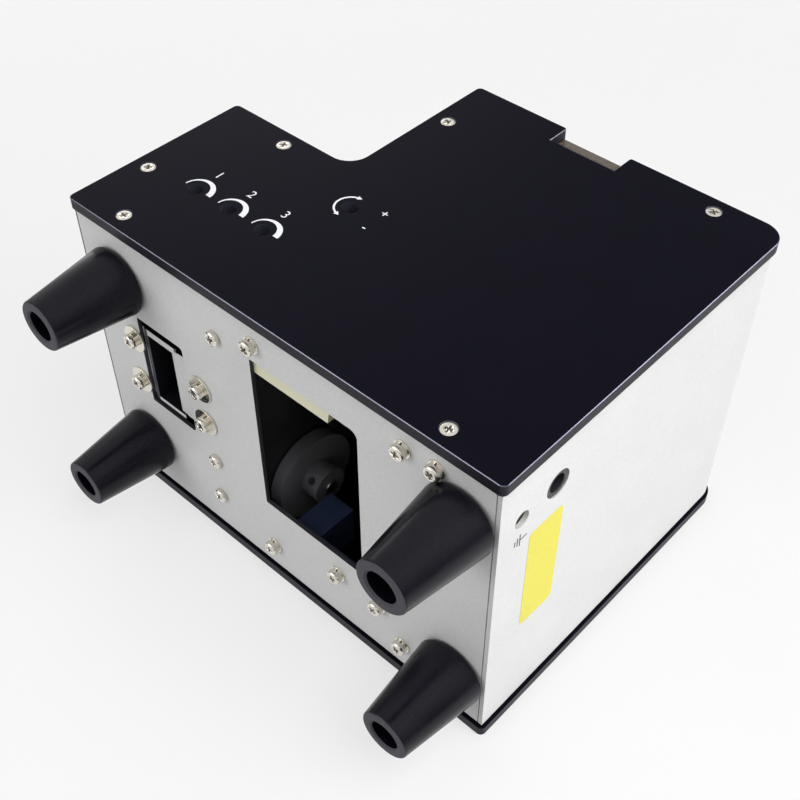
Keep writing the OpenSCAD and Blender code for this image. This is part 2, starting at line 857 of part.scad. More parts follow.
module large_washers() color(steel) in_body() for (p = chute_screw_at)
    translate([p[0], p[1], sheet_inset]) ring(big_washer_d, screw_d + 2 * fit, big_washer_t);

// Split spring washer
module spring_washer() difference() {
    ring(pan_d - drill_room, screw_d + 2 * fit, spring_t);
    rotate([20, 0, 0]) translate([0, -spring_split / 2, -2 * spring_t])
        cube([pan_d, spring_split, 4 * spring_t]);
}

module spring_washers() color(steel) in_body() translate([0, 0, sheet_inset]) {
    for (p = washer_screw_at) translate([p[0], p[1], -washer_t]) spring_washer();
    for (p = chute_screw_at) translate([p[0], p[1], -big_washer_t]) spring_washer();
}

// Rectangular drop duct with a flange to the front and to the rear
module drop_chute() color(silver) in_body() difference() {
    flange_x0 = chute_x0 + chute_flange_in;
    flange_x1 = chute_x1 - chute_flange_in;
    flange_top = floor_z + chute_t;
    union() {
        block([chute_x0, chute_y, sheet_inset + chute_sink], [chute_x1, chute_y1, deck_in_z]);
        block([flange_x0, chute_y - chute_flange_front, floor_z], [flange_x1, chute_y + chute_t, flange_top]);
        block(
            [flange_x0, chute_y1 - chute_t, floor_z],
            [flange_x1, chute_y1 + chute_flange_rear, flange_top]
        );
    }
    block(
        [chute_x0 + chute_t, chute_y + chute_t, -past],
        [chute_x1 - chute_t, chute_y1 - chute_t, front_h]
    );
    for (p = chute_screw_at) translate([p[0], p[1], 0])
        cylinder(d = screw_d + drill_room, h = flange_top + past);
}

// Clear hood over the rail outlet, open towards the riser
module drop_hood() color(clear_smoke) in_body() difference() {
    block([rail_x - hood_x, hood_y0, deck_z], [rail_x + hood_x, hood_y1, hood_top]);
    block(
        [rail_x - hood_x + hood_t, hood_y0 + hood_t, deck_z - past],
        [rail_x + hood_x - hood_t, hood_y1 + past, hood_top - hood_t]
    );
    along_x(rail_x - hood_x - past, rail_x + hood_x + past) difference() {
        translate([step_y - corner_r, deck_z - past]) square(corner_r + sheet_inset + past);
        translate([step_y - corner_r, front_h + corner_r]) circle(corner_r + sheet_inset - run_gap);
    }
}

// Light source and receiver at the two sides of the drop opening
module count_sensor() color(plate_black) in_body() for (sx = [-1, 1])
    translate([rail_x + sx * sensor_x, sensor_y, deck_z]) difference() {
        union() {
            along_z(0, sensor_h) translate([-sensor_w / 2, -sensor_l / 2])
                round_rect(sensor_w, sensor_l, sensor_r, sensor_r);
            translate([0, 0, -sheet_t - past]) cylinder(d = screw_d, h = sheet_t + 2 * past);
        }
        translate([-sx * sensor_w / 2, 0, sensor_h - sensor_eye_top])
            bar_x(-sensor_eye_depth, sensor_eye_depth, sensor_eye_d);
    }

// Tapped holes for screws that come up through the bottom plate
module tapped(at) for (p = at) translate([p[0], p[1], 0]) cylinder(d = screw_d + 2 * fit, h = tap_h);

// Upright wall that carries the rail, the gate and the front of the drum
module bulkhead() color(silver) in_body() difference() {
    half = in_w - sheet_t - bulk_side;
    union() {
        block([-half, bulk_y, floor_z], [half, bulk_y1, ledge_z - bulk_top_gap]);
        for (x = leg_at)
            block([x - tab_half, bulk_y, floor_z], [x + tab_half, front_leg_y + tab_half, floor_z + tab_t]);
    }
    block(
        [2 * rail_x - slot_edge, bulk_y - past, rail_z - bulk_slot_low],
        [slot_edge, bulk_y1 + past, slot_top]
    );
    translate([-motor_x, 0, motor_z]) bar_y(bulk_y - past, bulk_y1 + past, hub_d);
    translate([idler_x, 0, idler_z]) bar_y(bulk_y - past, bulk_y1 + past, idler_bore + 2 * fit);
    tapped([for (x = leg_at) [x, front_leg_y]]);
}

// Section of the hopper, moved inwards by a wall
module bin_section(inset) {
    r = bin_r - inset;
    half = bin_half - inset;
    rim = bin_top + inset;
    translate([rail_x, drum_z]) circle(r);
    polygon([
        [rail_x - r, drum_z], [rail_x - half, shoulder_z], [rail_x - half, rim],
        [rail_x + half, rim], [rail_x + half, shoulder_z], [rail_x + r, drum_z]
    ]);
}

// Hopper with the spigot that the drum turns on, two rear legs and a front beam
module hopper_bin() color(cream) in_body() difference() {
    union() {
        difference() {
            union() {
                along_y(bin_y0, bin_y1) bin_section(0);
                translate([rail_x, 0, drum_z]) bar_y(bin_y0 - spigot_l, bin_y0 + past, 2 * spigot_r);
            }
            translate([rail_x, 0, drum_z])
                bar_y(bin_y0 - spigot_l - past, bin_y0 + wall_t + past, 2 * (bin_r - wall_t));
        }
        for (x = leg_at) block(
            [x - leg_w / 2, rear_leg_y - leg_front, floor_z],
            [x + leg_w / 2, bin_y1, shoulder_z + leg_rise]
        );
        block([beam_x, bin_y0, floor_z], [beam_x + leg_w, bin_y0 + wall_t, shoulder_z]);
        block([beam_x, beam_y, floor_z], [beam_x + beam_w, bin_y0 + wall_t, floor_z + beam_h]);
    }
    along_y(bin_y0 + wall_t, bin_y1 - wall_t) bin_section(wall_t);
    tapped([for (x = leg_at) [x, rear_leg_y]]);
}

// Turning drum with a drive rim and lifting vanes
module drum() color([0.30, 0.31, 0.34]) in_body() translate([rail_x, 0, drum_z]) {
    difference() {
        union() {
            bar_y(drum_y, drum_y + drum_l, 2 * (drum_r + drum_wall));
            bar_y(wheel_y0, wheel_y1, 2 * rim_r);
        }
        bar_y(drum_y - past, drum_y + drum_l + past, 2 * drum_r);
    }
    vane_l = drum_l - spigot_l - vane_front - vane_rear;
    for (i = [0:vane_n - 1]) rotate([0, i * 360 / vane_n, 0])
        translate([drum_r - vane_depth, drum_y + vane_front, -vane_t / 2])
            cube([vane_depth + vane_root, vane_l, vane_t]);
}

// Wheel on the motor shaft with a hub and a set screw hole
module drive_wheel() color(wheel_grey) in_body() translate([-motor_x, 0, motor_z]) difference() {
    union() {
        bar_y(wheel_y0, wheel_y1, 2 * wheel_r);
        bar_y(wheel_y1 - eps, wheel_y1 + hub_l, hub_d);
    }
    bar_y(wheel_y0 - past, wheel_y1 + hub_l + past, shaft_d + 2 * fit);
    translate([0, wheel_y1 + hub_l / 2, 0]) rotate([0, set_screw_turn, 0])
        cylinder(d = set_screw_d, h = hub_d);
}

module drive_shaft() color(steel) in_body() translate([-motor_x, 0, motor_z])
    bar_y(motor_plate_y - bracket_t + past, wheel_y1 + hub_l + shaft_past, shaft_d);

module idler_wheel() color(wheel_grey) in_body() translate([idler_x, 0, idler_z]) difference() {
    bar_y(wheel_y0, wheel_y1, 2 * idler_r);
    bar_y(wheel_y0 - past, wheel_y1 + past, idler_bore + 2 * fit);
}

module idler_pin() color(steel) in_body() translate([idler_x, 0, idler_z]) {
    head_y = wheel_y1 + run_gap;
    bar_y(bulk_y, head_y + eps, idler_bore);
    bar_y(head_y, head_y + idler_head_t, 1.6 * idler_bore);
}

// Gearbox and motor can in front of the bracket
module gear_motor() color(dark_grey) in_body() translate([-motor_x, 0, motor_z]) {
    can_y = display_board_y + board_t + can_gap;
    difference() {
        bar_y(gearbox_y, motor_plate_y - bracket_t, gearbox_d);
        bar_y(motor_plate_y - 2 * bracket_t, motor_plate_y, shaft_d + 2 * run_gap);
    }
    bar_y(can_y, gearbox_y + eps, can_d);
    bar_y(can_y - can_boss_l, can_y + eps, can_boss_d);
}

module motor_bracket() color(dark_blue) in_body() difference() {
    x0 = -motor_x - gearbox_d / 2;
    x1 = -motor_x + gearbox_d / 2;
    face_y = motor_plate_y - bracket_t;
    union() {
        block([x0, motor_screw_y - bracket_front, floor_z], [x1, motor_plate_y, floor_z + tab_t]);
        block([x0, face_y, floor_z], [x1, motor_plate_y, motor_z + gearbox_d / 2]);
    }
    translate([-motor_x, 0, motor_z]) bar_y(face_y - past, motor_plate_y + past, hub_d);
    tapped([for (sx = [-1, 1]) [-motor_x + sx * motor_screw_dx, motor_screw_y]]);
}

// Potted supply block with a mounting tab behind it
module power_module() color(dark_blue) in_body() difference() {
    x0 = -module_screw_x - module_left;
    x1 = -module_screw_x + tab_half;
    union() {
        block([x0, module_y0, floor_z], [x1, module_y1, floor_z + module_h]);
        block(
            [x1 - 2 * tab_half, module_y1 - past, floor_z],
            [x1, module_screw_y[1] + tab_half, floor_z + tab_t]
        );
    }
    tapped([for (y = module_screw_y) [-module_screw_x, y]]);
}

// Gate: slotted shaft with a crank, its bracket and the plate that it lifts
module gate_shaft() color(steel) in_body() translate([0, gate_y, gate_z]) difference() {
    shaft_end = in_w - gate_end_gap;
    union() {
        bar_x(gate_crank_x, shaft_end, gate_d);
        translate([0, -gate_throw, 0]) bar_x(gate_bar_x - gate_pin_past, gate_crank_x + past, gate_pin_d);
        translate([0, -gate_throw, 0]) bar_x(gate_crank_x, gate_crank_x + gate_crank_t, gate_d);
        block(
            [gate_crank_x, -gate_throw, -gate_d / 2],
            [gate_crank_x + gate_crank_t, 0, gate_d / 2]
        );
    }
    translate([shaft_end - driver_slot_depth, -gate_d, -driver_slot_w / 2])
        cube([driver_slot_depth + past, 2 * gate_d, driver_slot_w]);
}

module gate_bracket() color(silver) in_body() difference() {
    hold_x1 = gate_hold_x + gate_hold_l;
    web_x = gate_bar_x1 + gate_web_gap;
    web_y = bulk_y - gate_web_t;
    guide_z = rail_top - gate_guide_h;
    union() {
        block(
            [gate_hold_x, gate_y - gate_hold_half, gate_z - gate_hold_half],
            [hold_x1, bulk_y, gate_z + gate_hold_half]
        );
        block(
            [gate_bar_x - gate_guide_wall, gate_bar_y0 - gate_guide_wall, guide_z],
            [gate_bar_x1 + gate_guide_wall, bulk_y, rail_top]
        );
        block([web_x, web_y, gate_z + gate_hold_half - past], [hold_x1, bulk_y, rail_top]);
        block([web_x, web_y, guide_z], [slot_edge + bulk_slot_side, bulk_y, rail_top]);
    }
    translate([0, gate_y, gate_z]) bar_x(gate_hold_x - past, hold_x1 + past, gate_d + 2 * fit);
    block(
        [gate_bar_x - run_gap, gate_bar_y0 - run_gap, guide_z - past],
        [gate_bar_x1 + run_gap, gate_bar_y1 + run_gap, rail_top + past]
    );
}

module gate_plate() color(steel) in_body() difference() {
    blade_y = gate_bar_y0 + blade_t;
    blade_top = blade_z + blade_h;
    union() {
        block([gate_bar_x, gate_bar_y0, gate_z - gate_bar_low], [gate_bar_x1, gate_bar_y1, blade_top]);
        block([rail_x0 - blade_past, blade_y, blade_z], [gate_bar_x + eps, blade_y + blade_t, blade_top]);
    }
    translate([0, gate_y - gate_throw, gate_z]) {
        slot_d = gate_pin_d + 2 * gate_slot_room;
        slot_l = gate_throw / 2;
        x0 = gate_bar_x - past;
        x1 = gate_bar_x1 + past;
        bar_x(x0, x1, slot_d);
        block([x0, 0, -slot_d / 2], [x1, slot_l, slot_d / 2]);
        translate([0, slot_l, 0]) bar_x(x0, x1, slot_d);
    }
}

// Rail: two bars on a carrier, with catching plates inside the drum
module rail_bar(x0) color(steel) in_body()
    block([x0, rail_front_y, rail_z], [x0 + bar_w, rail_back_y, rail_top]);
module rail_left_bar() rail_bar(rail_x0);
module rail_right_bar() rail_bar(rail_x1 - bar_w);

module rail_carrier() color(alloy) in_body()
    block([rail_x0, carrier_y0, carrier_z], [rail_x1, carrier_y1, rail_z]);

module rail_catcher() color(steel) in_body() along_y(drum_y + catcher_gap, rail_back_y)
    for (sx = [0, 1]) translate([rail_x, 0]) mirror([sx, 0]) {
        foot = rail_w / 2;
        tip = foot + catcher_rise;
        low = rail_top - catcher_lap;
        high = rail_top + catcher_rise;
        polygon([
            [foot, low], [foot + catcher_t, low], [foot + catcher_t, rail_top],
            [tip + catcher_t, high], [tip, high + catcher_t], [foot, rail_top + catcher_t]
        ]);
    }

// Vibrator: armature under the carrier, coil and base below, one leaf spring at each end
module vibrator_armature() color(steel) in_body() block(
    [rail_x0 + leaf_in, armature_y0, carrier_z - armature_h],
    [rail_x1 - leaf_in, armature_y1, carrier_z]
);

module vibrator_coil() color([0.45, 0.24, 0.14]) in_body() {
    core = coil_core_w / 2;
    y0 = armature_y0;
    y1 = armature_y1;
    block([rail_x - core, y0 + coil_core_in, base_top], [rail_x + core, y1 - coil_core_in, coil_top]);
    for (z = [base_top, coil_head]) block([rail_x0, y0, z], [rail_x1, y1, z + coil_cheek]);
    block(
        [rail_x0 + coil_in, y0 + coil_in, base_top + coil_cheek],
        [rail_x1 - coil_in, y1 - coil_in, coil_head]
    );
}

module vibrator_base() color(alloy) in_body() {
    x0 = rail_x - base_w / 2;
    block([x0, carrier_y0, base_z], [x0 + base_w, bulk_y, base_top]);
    block([x0, carrier_y1 + base_step_gap, base_z], [x0 + base_w, bulk_y, base_top + base_rise]);
}

// Leaf springs lie against the ends of the base and of the carrier
module leaf_spring(y, z0)
    block([rail_x0 + leaf_in, y, z0], [rail_x1 - leaf_in, y + leaf_t, rail_z - leaf_in]);
module leaf_springs() color(steel) in_body() {
    leaf_spring(carrier_y0 - leaf_t, base_z);
    leaf_spring(carrier_y1, base_top);
}

// Control board behind the right plate
module control_board() color(board_green) in_body()
    block([board_x, board_y0, trim_z - board_low], [board_x1, board_y1, trim_z + board_high]);

module board_bracket() color(silver) in_body() difference() {
    rear = board_screw[1] + board_hold_behind;
    union() {
        block(
            [board_screw[0] - tab_half, board_screw[1] - tab_half, floor_z],
            [board_x, rear, floor_z + tab_t]
        );
        block(
            [board_x - board_hold_t, board_y1 - board_hold_lap, floor_z],
            [board_x, rear, trim_z + board_hold_rise]
        );
    }
    tapped([board_screw]);
}

module at_trimmer(i) translate([0, trim_y + i * trim_pitch, trim_z]) children();
module at_trimmers() for (i = [0:2]) at_trimmer(i) children();

module trimmer_cases() color([0.16, 0.28, 0.55]) in_body() at_trimmers() difference() {
    block([board_x1, -case_w / 2, -case_w / 2], [case_x, case_w / 2, case_w / 2]);
    bar_x(rotor_x - rotor_tail - snug, case_x + past, rotor_d + 2 * snug);
}

module trimmer(i) color([0.88, 0.86, 0.80]) in_body() at_trimmer(i) difference() {
    bar_x(rotor_x - rotor_tail, rotor_x + rotor_l, rotor_d);
    translate([rotor_x + rotor_l - rotor_slot, -rotor_d, -rotor_slot / 2])
        cube([rotor_slot + past, 2 * rotor_d, rotor_slot]);
}
module trimmer_front() trimmer(0);
module trimmer_middle() trimmer(1);
module trimmer_rear() trimmer(2);

// Front panel electronics
module display_board() color(board_green) in_body() block(
    [lens_x - standoff_side - display_margin, display_board_y, standoff_low - display_margin - past],
    [
        start_x + start_margin + display_margin, display_board_y + board_t,
        lens_z + lens_h + standoff_up + display_margin
    ]
);

module display_module() color(moulded_black) in_body() block(
    [lens_x + display_in, panel_y + lens_past + snug, lens_z + display_in],
    [lens_x + lens_w - display_in, display_board_y, lens_z + lens_h - display_in]
);

module display_lens() color([0.35, 0.05, 0.06, 0.7]) in_body() block(
    [lens_x + snug, panel_recess - lens_proud, lens_z + snug],
    [lens_x + lens_w - snug, panel_y + lens_past, lens_z + lens_h - snug]
);

// Push button: cap in front, retaining flange behind the panel
module button(x) in_body() translate([x, 0, button_z]) {
    bar_y(button_sink, panel_y + run_gap + eps, button_d);
    bar_y(panel_y + run_gap, button_back, button_flange_d);
}
module start_button() color([0.10, 0.55, 0.25]) button(start_x);
module plus_button() color([0.25, 0.26, 0.28]) button(plus_x);
module minus_button() color([0.25, 0.26, 0.28]) button(minus_x);

module button_switches() color(moulded_black) in_body() for (x = button_at) block(
    [x - key_half, button_back + button_travel + key_gap, button_z - key_half],
    [x + key_half, display_board_y, button_z + key_half]
);

// Power switch: framed case with a tilting rocker
module power_switch_case() color(moulded_black) in_body() translate([switch_x, 0, switch_z]) difference() {
    w = switch_w / 2;
    h = switch_h / 2;
    rocker_x = rocker_w / 2 + rocker_room;
    rocker_z = rocker_half + rocker_end_room;
    pin_x = rocker_w / 2 + rocker_pin_l + rocker_pin_room;
    union() {
        block(
            [-w - switch_rim, panel_recess - switch_rim, -h - switch_rim],
            [w + switch_rim, panel_recess, h + switch_rim]
        );
        block([-w + snug, panel_recess - eps, -h + snug], [w - snug, panel_y + switch_l, h - snug]);
    }
    block([-rocker_x, 0, -rocker_z], [rocker_x, rocker_pivot_y + rocker_depth, rocker_z]);
    translate([0, rocker_pivot_y, 0]) bar_x(-pin_x, pin_x, rocker_pin_d + 2 * fit);
}

module power_rocker() color([0.14, 0.14, 0.15]) in_body() translate([switch_x, rocker_pivot_y, switch_z])
    rotate([rocker_tilt, 0, 0]) {
        front = panel_recess - rocker_proud - rocker_pivot_y;
        pin_x = rocker_w / 2 + rocker_pin_l;
        along_x(-rocker_w / 2, rocker_w / 2) polygon([
            [rocker_heel, 0], [-rocker_edge, -rocker_half], [front, -rocker_half],
            [front + rocker_dish, 0], [front, rocker_half], [-rocker_edge, rocker_half]
        ]);
        bar_x(-pin_x, pin_x, rocker_pin_d);
    }

// Supply jack with its centre pin, behind the rear plate
module dc_jack() color(moulded_black) in_body() translate([jack_x, 0, jack_z]) {
    difference() {
        union() {
            bar_y(rear_in_y - jack_l, rear_in_y, jack_d + jack_flange);
            bar_y(rear_in_y - eps, rear_y - jack_sink, jack_d - 2 * snug);
        }
        bar_y(rear_in_y - jack_bore_l, body_d, jack_bore);
    }
    bar_y(rear_in_y - jack_bore_l - past, rear_in_y - past, jack_pin_d);
}

// Earth socket on a foot that is screwed to the bottom plate
module earth_terminal() color(steel) in_body() difference() {
    back = rear_in_y - run_gap;
    web_y = back - earth_web_gap;
    x0 = earth_screw[0] - earth_tab_left;
    x1 = earth_screw[0] + earth_tab_right;
    top = earth_z + earth_high;
    union() {
        block([x0, earth_screw[1] - tab_half, floor_z], [x1, web_y, floor_z + earth_web_t]);
        block([earth_x - earth_half, web_y - earth_web_t, earth_z - earth_low], [x1, web_y, top]);
        block([x0, web_y - earth_web_t, floor_z], [x1, web_y, top]);
        translate([earth_x, 0, earth_z]) bar_y(back - earth_l, back, earth_d);
    }
    translate([earth_x, 0, earth_z]) bar_y(back - earth_bore_l, back + past, earth_bore_d);
    tapped([earth_screw]);
}

right_side_plate();
left_side_plate();
bottom_plate();
front_panel();
step_cover();
rear_plate();
lid();
lid_ledges();
foot_front_right();
foot_front_left();
foot_rear_right();
foot_rear_left();
foot_screws();
nuts();
side_screws();
pan_screws();
flat_washers();
large_washers();
spring_washers();
drop_chute();
drop_hood();
count_sensor();
bulkhead();
hopper_bin();
drum();
drive_wheel();
drive_shaft();
idler_wheel();
idler_pin();
gear_motor();
motor_bracket();
power_module();
gate_shaft();
gate_bracket();
gate_plate();
rail_left_bar();
rail_right_bar();
rail_carrier();
rail_catcher();
vibrator_armature();
vibrator_coil();
vibrator_base();
leaf_springs();
control_board();
board_bracket();
trimmer_cases();
trimmer_front();
trimmer_middle();
trimmer_rear();
display_board();
display_module();
display_lens();
start_button();
plus_button();
minus_button();
button_switches();
power_switch_case();
power_rocker();
dc_jack();
earth_terminal();
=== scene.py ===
"""Dressed model of a table-top screw counting feeder.

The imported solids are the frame. Each sub-assembly refines its own solids, adds the printed
marks and small forms that belong to it and gives every surface its finish. Lengths are metres
in the frame of the solids: +X to the plate with the adjusting holes, +Y to the rear, +Z up.
"""

import json
import logging
import math
from contextlib import contextmanager
from dataclasses import dataclass, field
from enum import Enum
from typing import Callable, ClassVar, Iterator, Mapping, Optional, Sequence, Union

import bmesh
import bpy
from mathutils import Matrix, Vector


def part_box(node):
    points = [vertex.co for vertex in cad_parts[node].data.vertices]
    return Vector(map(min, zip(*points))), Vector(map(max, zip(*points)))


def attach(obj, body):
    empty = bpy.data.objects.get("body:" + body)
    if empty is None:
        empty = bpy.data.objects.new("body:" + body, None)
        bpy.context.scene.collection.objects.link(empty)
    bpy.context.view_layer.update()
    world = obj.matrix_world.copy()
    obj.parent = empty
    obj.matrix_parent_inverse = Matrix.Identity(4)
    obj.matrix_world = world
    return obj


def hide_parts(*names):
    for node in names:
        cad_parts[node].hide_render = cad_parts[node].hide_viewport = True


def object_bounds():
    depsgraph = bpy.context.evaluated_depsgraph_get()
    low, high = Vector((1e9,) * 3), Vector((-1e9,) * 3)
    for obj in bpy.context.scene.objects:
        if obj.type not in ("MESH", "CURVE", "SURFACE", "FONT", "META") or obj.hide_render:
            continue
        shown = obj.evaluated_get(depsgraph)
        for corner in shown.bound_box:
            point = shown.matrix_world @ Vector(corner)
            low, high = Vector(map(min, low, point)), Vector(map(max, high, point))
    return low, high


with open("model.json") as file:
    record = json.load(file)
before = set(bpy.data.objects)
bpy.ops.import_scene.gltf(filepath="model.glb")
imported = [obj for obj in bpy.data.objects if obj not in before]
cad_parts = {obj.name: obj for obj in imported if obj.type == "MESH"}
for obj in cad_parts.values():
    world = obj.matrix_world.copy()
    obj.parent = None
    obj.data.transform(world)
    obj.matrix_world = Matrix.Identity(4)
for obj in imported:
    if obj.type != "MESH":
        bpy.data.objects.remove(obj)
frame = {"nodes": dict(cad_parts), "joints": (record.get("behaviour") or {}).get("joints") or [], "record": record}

MM = 0.001
CAD_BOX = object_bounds()
LOG = logging.getLogger("feeder")
Colour = tuple[float, float, float]
Piece = bpy.types.Object
Socket = bpy.types.NodeSocket
Inputs = Mapping[Union[str, int], object]
BODY_OF = {
    node: body for body, nodes in frame["record"]["behaviour"]["bodies"].items() for node in nodes
}
SLOT_OF = {part["node"]: part["material_slot"] for part in frame["record"]["subparts"]}
WELD = MM / 1000  # corners nearer than this are one
SLACK = MM / 10  # reach of a test for the same place
DIGITS = 6  # decimals that lengths are compared by
SHARP = 38.0  # degrees from which an edge is sharp
FLAT = 0.5  # degrees below which neighbouring faces are one
STRAIGHT = 0.9  # share of a direction that runs along an axis
SIDEWAYS = 0.5  # share of a normal that tells walls from faces
BAND_SCALE = math.tau / 20  # scale of a wave pattern with bands of one metre
NOISE_SPAN = (0.3, 0.7)  # values that a noise mostly lies between
RANGE = ("From Min", "From Max", "To Min", "To Max")
WHITE = (1.0, 1.0, 1.0, 1.0)
TRIMMERS = ("trimmer_front", "trimmer_middle", "trimmer_rear")
BUTTONS = ("start_button", "plus_button", "minus_button")


class Face(Enum):
    """Outer face that a mark lies on, as its reading direction, its up direction and its normal."""

    RIGHT = ((0, 1, 0), (0, 0, 1), (1, 0, 0))
    FRONT = ((1, 0, 0), (0, 0, 1), (0, -1, 0))
    REAR = ((-1, 0, 0), (0, 0, 1), (0, 1, 0))
    LEFT = ((0, -1, 0), (0, 0, 1), (-1, 0, 0))
    BELOW = ((1, 0, 0), (0, -1, 0), (0, 0, -1))
    ABOVE = ((1, 0, 0), (0, 1, 0), (0, 0, 1))

    @property
    def basis(self) -> Matrix:
        """Rotation that carries a drawing in the XY plane onto this face."""
        return Matrix(self.value).transposed().to_4x4()


def select(*pieces: Piece) -> None:
    """Selects only these pieces and makes the first one active.

    Args:
        pieces: Pieces to select.
    """
    bpy.ops.object.select_all(action="DESELECT")
    for piece in pieces:
        piece.select_set(True)
    bpy.context.view_layer.objects.active = pieces[0]


@contextmanager
def editing(piece: Piece, mode: str = "VERT") -> Iterator[None]:
    """Opens a piece in edit mode with everything selected.

    Args:
        piece: The piece to edit.
        mode: What is selected: VERT, EDGE or FACE.

    Yields:
        Nothing; edit mode ends with the block.
    """
    select(piece)
    bpy.ops.object.mode_set(mode="EDIT")
    bpy.ops.mesh.select_mode(type=mode)
    bpy.ops.mesh.select_all(action="SELECT")
    try:
        yield
    finally:
        bpy.ops.object.mode_set(mode="OBJECT")


def settle(piece: Piece) -> Piece:
    """Puts a piece's place, turn and scale into its mesh.

    Args:
        piece: The piece to settle.

    Returns:
        The same piece.
    """
    select(piece)
    bpy.ops.object.transform_apply(location=True, rotation=True, scale=True)
    return piece


def newest(name: str) -> Piece:
    """Names the piece that an operator has just added.

    Args:
        name: Name of the piece and of its mesh.

    Returns:
        The active piece.
    """
    piece = bpy.context.active_object
    piece.name = name
    piece.data.name = name
    return piece


def add_box(name: str, low: Sequence[float], high: Sequence[float]) -> Piece:
    """Adds a box between two corners.

    Args:
        name: Name of the piece.
        low: Lowest corner.
        high: Highest corner.

    Returns:
        The settled piece.
    """
    low, high = Vector(low), Vector(high)
    bpy.ops.object.select_all(action="DESELECT")
    bpy.ops.mesh.primitive_cube_add(size=1, location=(low + high) / 2)
    piece = newest(name)
    piece.scale = high - low
    return settle(piece)


def add_disc(
    name: str, radius: float, depth: float, centre: Sequence[float] = (0, 0, 0), sides: int = 64
) -> Piece:
    """Adds a flat round plate, or a prism with few sides, along Z.

    Args:
        name: Name of the piece.
        radius: Outer radius.
        depth: Thickness along Z.
        centre: Middle of the plate.
        sides: Number of sides.

    Returns:
        The settled piece.
    """
    bpy.ops.object.select_all(action="DESELECT")
    bpy.ops.mesh.primitive_cylinder_add(vertices=sides, radius=radius, depth=depth, location=centre)
    return settle(newest(name))


def apply_modifier(piece: Piece, kind: str, **settings: object) -> Piece:
    """Adds a modifier to a piece and applies it.

    Args:
        piece: The piece to change.
        kind: Type of the modifier.
        settings: Values of the modifier's properties.

    Returns:
        The same piece.
    """
    modifier = piece.modifiers.new(kind.lower(), kind)
    for key, value in settings.items():
        setattr(modifier, key, value)
    select(piece)
    bpy.ops.object.modifier_apply(modifier=modifier.name)
    return piece


def combine(piece: Piece, operation: str, tools: Sequence[Piece]) -> Piece:
    """Applies a boolean of each tool to a piece, whose new faces take the tool's finish.

    Args:
        piece: The piece to change.
        operation: DIFFERENCE or UNION.
        tools: Closed forms, which are used up.

    Returns:
        The same piece.
    """
    for tool in tools:
        apply_modifier(
            piece, "BOOLEAN", operation=operation, object=tool, solver="EXACT", material_mode="TRANSFER"
        )
        bpy.data.objects.remove(tool)
    return piece


def cut(piece: Piece, *tools: Piece) -> Piece:
    """Cuts the tools out of a piece."""
    return combine(piece, "DIFFERENCE", tools)


def fuse(piece: Piece, *others: Piece) -> Piece:
    """Unites other closed forms with a piece."""
    return combine(piece, "UNION", others)


def join(*pieces: Piece) -> Piece:
    """Joins pieces into the first one.

    Args:
        pieces: One piece or more.

    Returns:
        The first piece.
    """
    if len(pieces) > 1:
        select(*pieces)
        bpy.ops.object.join()
    return pieces[0]


def copy_of(master: Piece, name: str, place: Matrix = Matrix()) -> Piece:
    """Copies a piece with a mesh of its own.

    Args:
        master: The piece to copy.
        name: Name of the copy.
        place: Where the copy goes, from the master's own frame.

    Returns:
        The settled copy.
    """
    select(master)
    bpy.ops.object.duplicate(linked=False)
    copy = newest(name)
    copy.matrix_world = place
    return settle(copy)


def drop_away(*pieces: Piece) -> None:
    """Removes masters that have been copied."""
    for piece in pieces:
        bpy.data.objects.remove(piece)


def draw_line(name: str, points: Sequence[Sequence[float]]) -> Piece:
    """Draws a chain of edges by extruding one vertex from point to point.

    Args:
        name: Name of the piece.
        points: Corners of the chain.

    Returns:
        A piece that holds the chain.
    """
    bpy.ops.object.select_all(action="DESELECT")
    bpy.ops.mesh.primitive_plane_add(size=MM)
    piece = newest(name)
    with editing(piece):
        bpy.ops.mesh.merge(type="CENTER")
        bpy.ops.transform.translate(value=points[0])
        for start, end in zip(points, points[1:]):
            step = Vector(end) - Vector(start)
            bpy.ops.mesh.extrude_region_move(TRANSFORM_OT_translate={"value": step})
    return piece


def arc(centre: Sequence[float], radius: float, start: float, end: float, steps: int = 6) -> list[Vector]:
    """Points of an arc in a lathe profile.

    Args:
        centre: Radius and height of the arc's middle.
        radius: Radius of the arc.
        start: First angle in degrees, from the radial direction.
        end: Last angle in degrees.
        steps: Number of chords.

    Returns:
        Radius and height of each point.
    """
    angles = [math.radians(start + (end - start) * i / steps) for i in range(steps + 1)]
    return [Vector((centre[0] + radius * math.cos(a), centre[1] + radius * math.sin(a))) for a in angles]


def lathe(name: str, profile: Sequence[Sequence[float]], sides: int = 64) -> Piece:
    """Spins a profile of radius and height about Z into a closed form.

    Args:
        name: Name of the piece.
        profile: Radius and height of each corner, from one end to the other.
        sides: Number of steps of the spin.

    Returns:
        The smooth-shaded piece.
    """
    piece = draw_line(name, [(radius, 0, height) for radius, height in profile])
    with editing(piece):
        bpy.ops.mesh.spin(steps=sides, angle=math.tau, center=(0, 0, 0), axis=(0, 0, 1))
        bpy.ops.mesh.select_all(action="SELECT")
        bpy.ops.mesh.remove_doubles(threshold=WELD)
        bpy.ops.mesh.normals_make_consistent(inside=False)
    return smooth(piece)


def smooth(piece: Piece, angle: float = SHARP) -> Piece:
    """Shades a piece smooth and keeps its flat faces flat.

    Args:
        piece: The piece to shade.
        angle: Degrees from which an edge stays sharp.

    Returns:
        The same piece.
    """
    select(piece)
    bpy.ops.object.shade_smooth_by_angle(angle=math.radians(angle))
    return apply_modifier(piece, "WEIGHTED_NORMAL", keep_sharp=True)


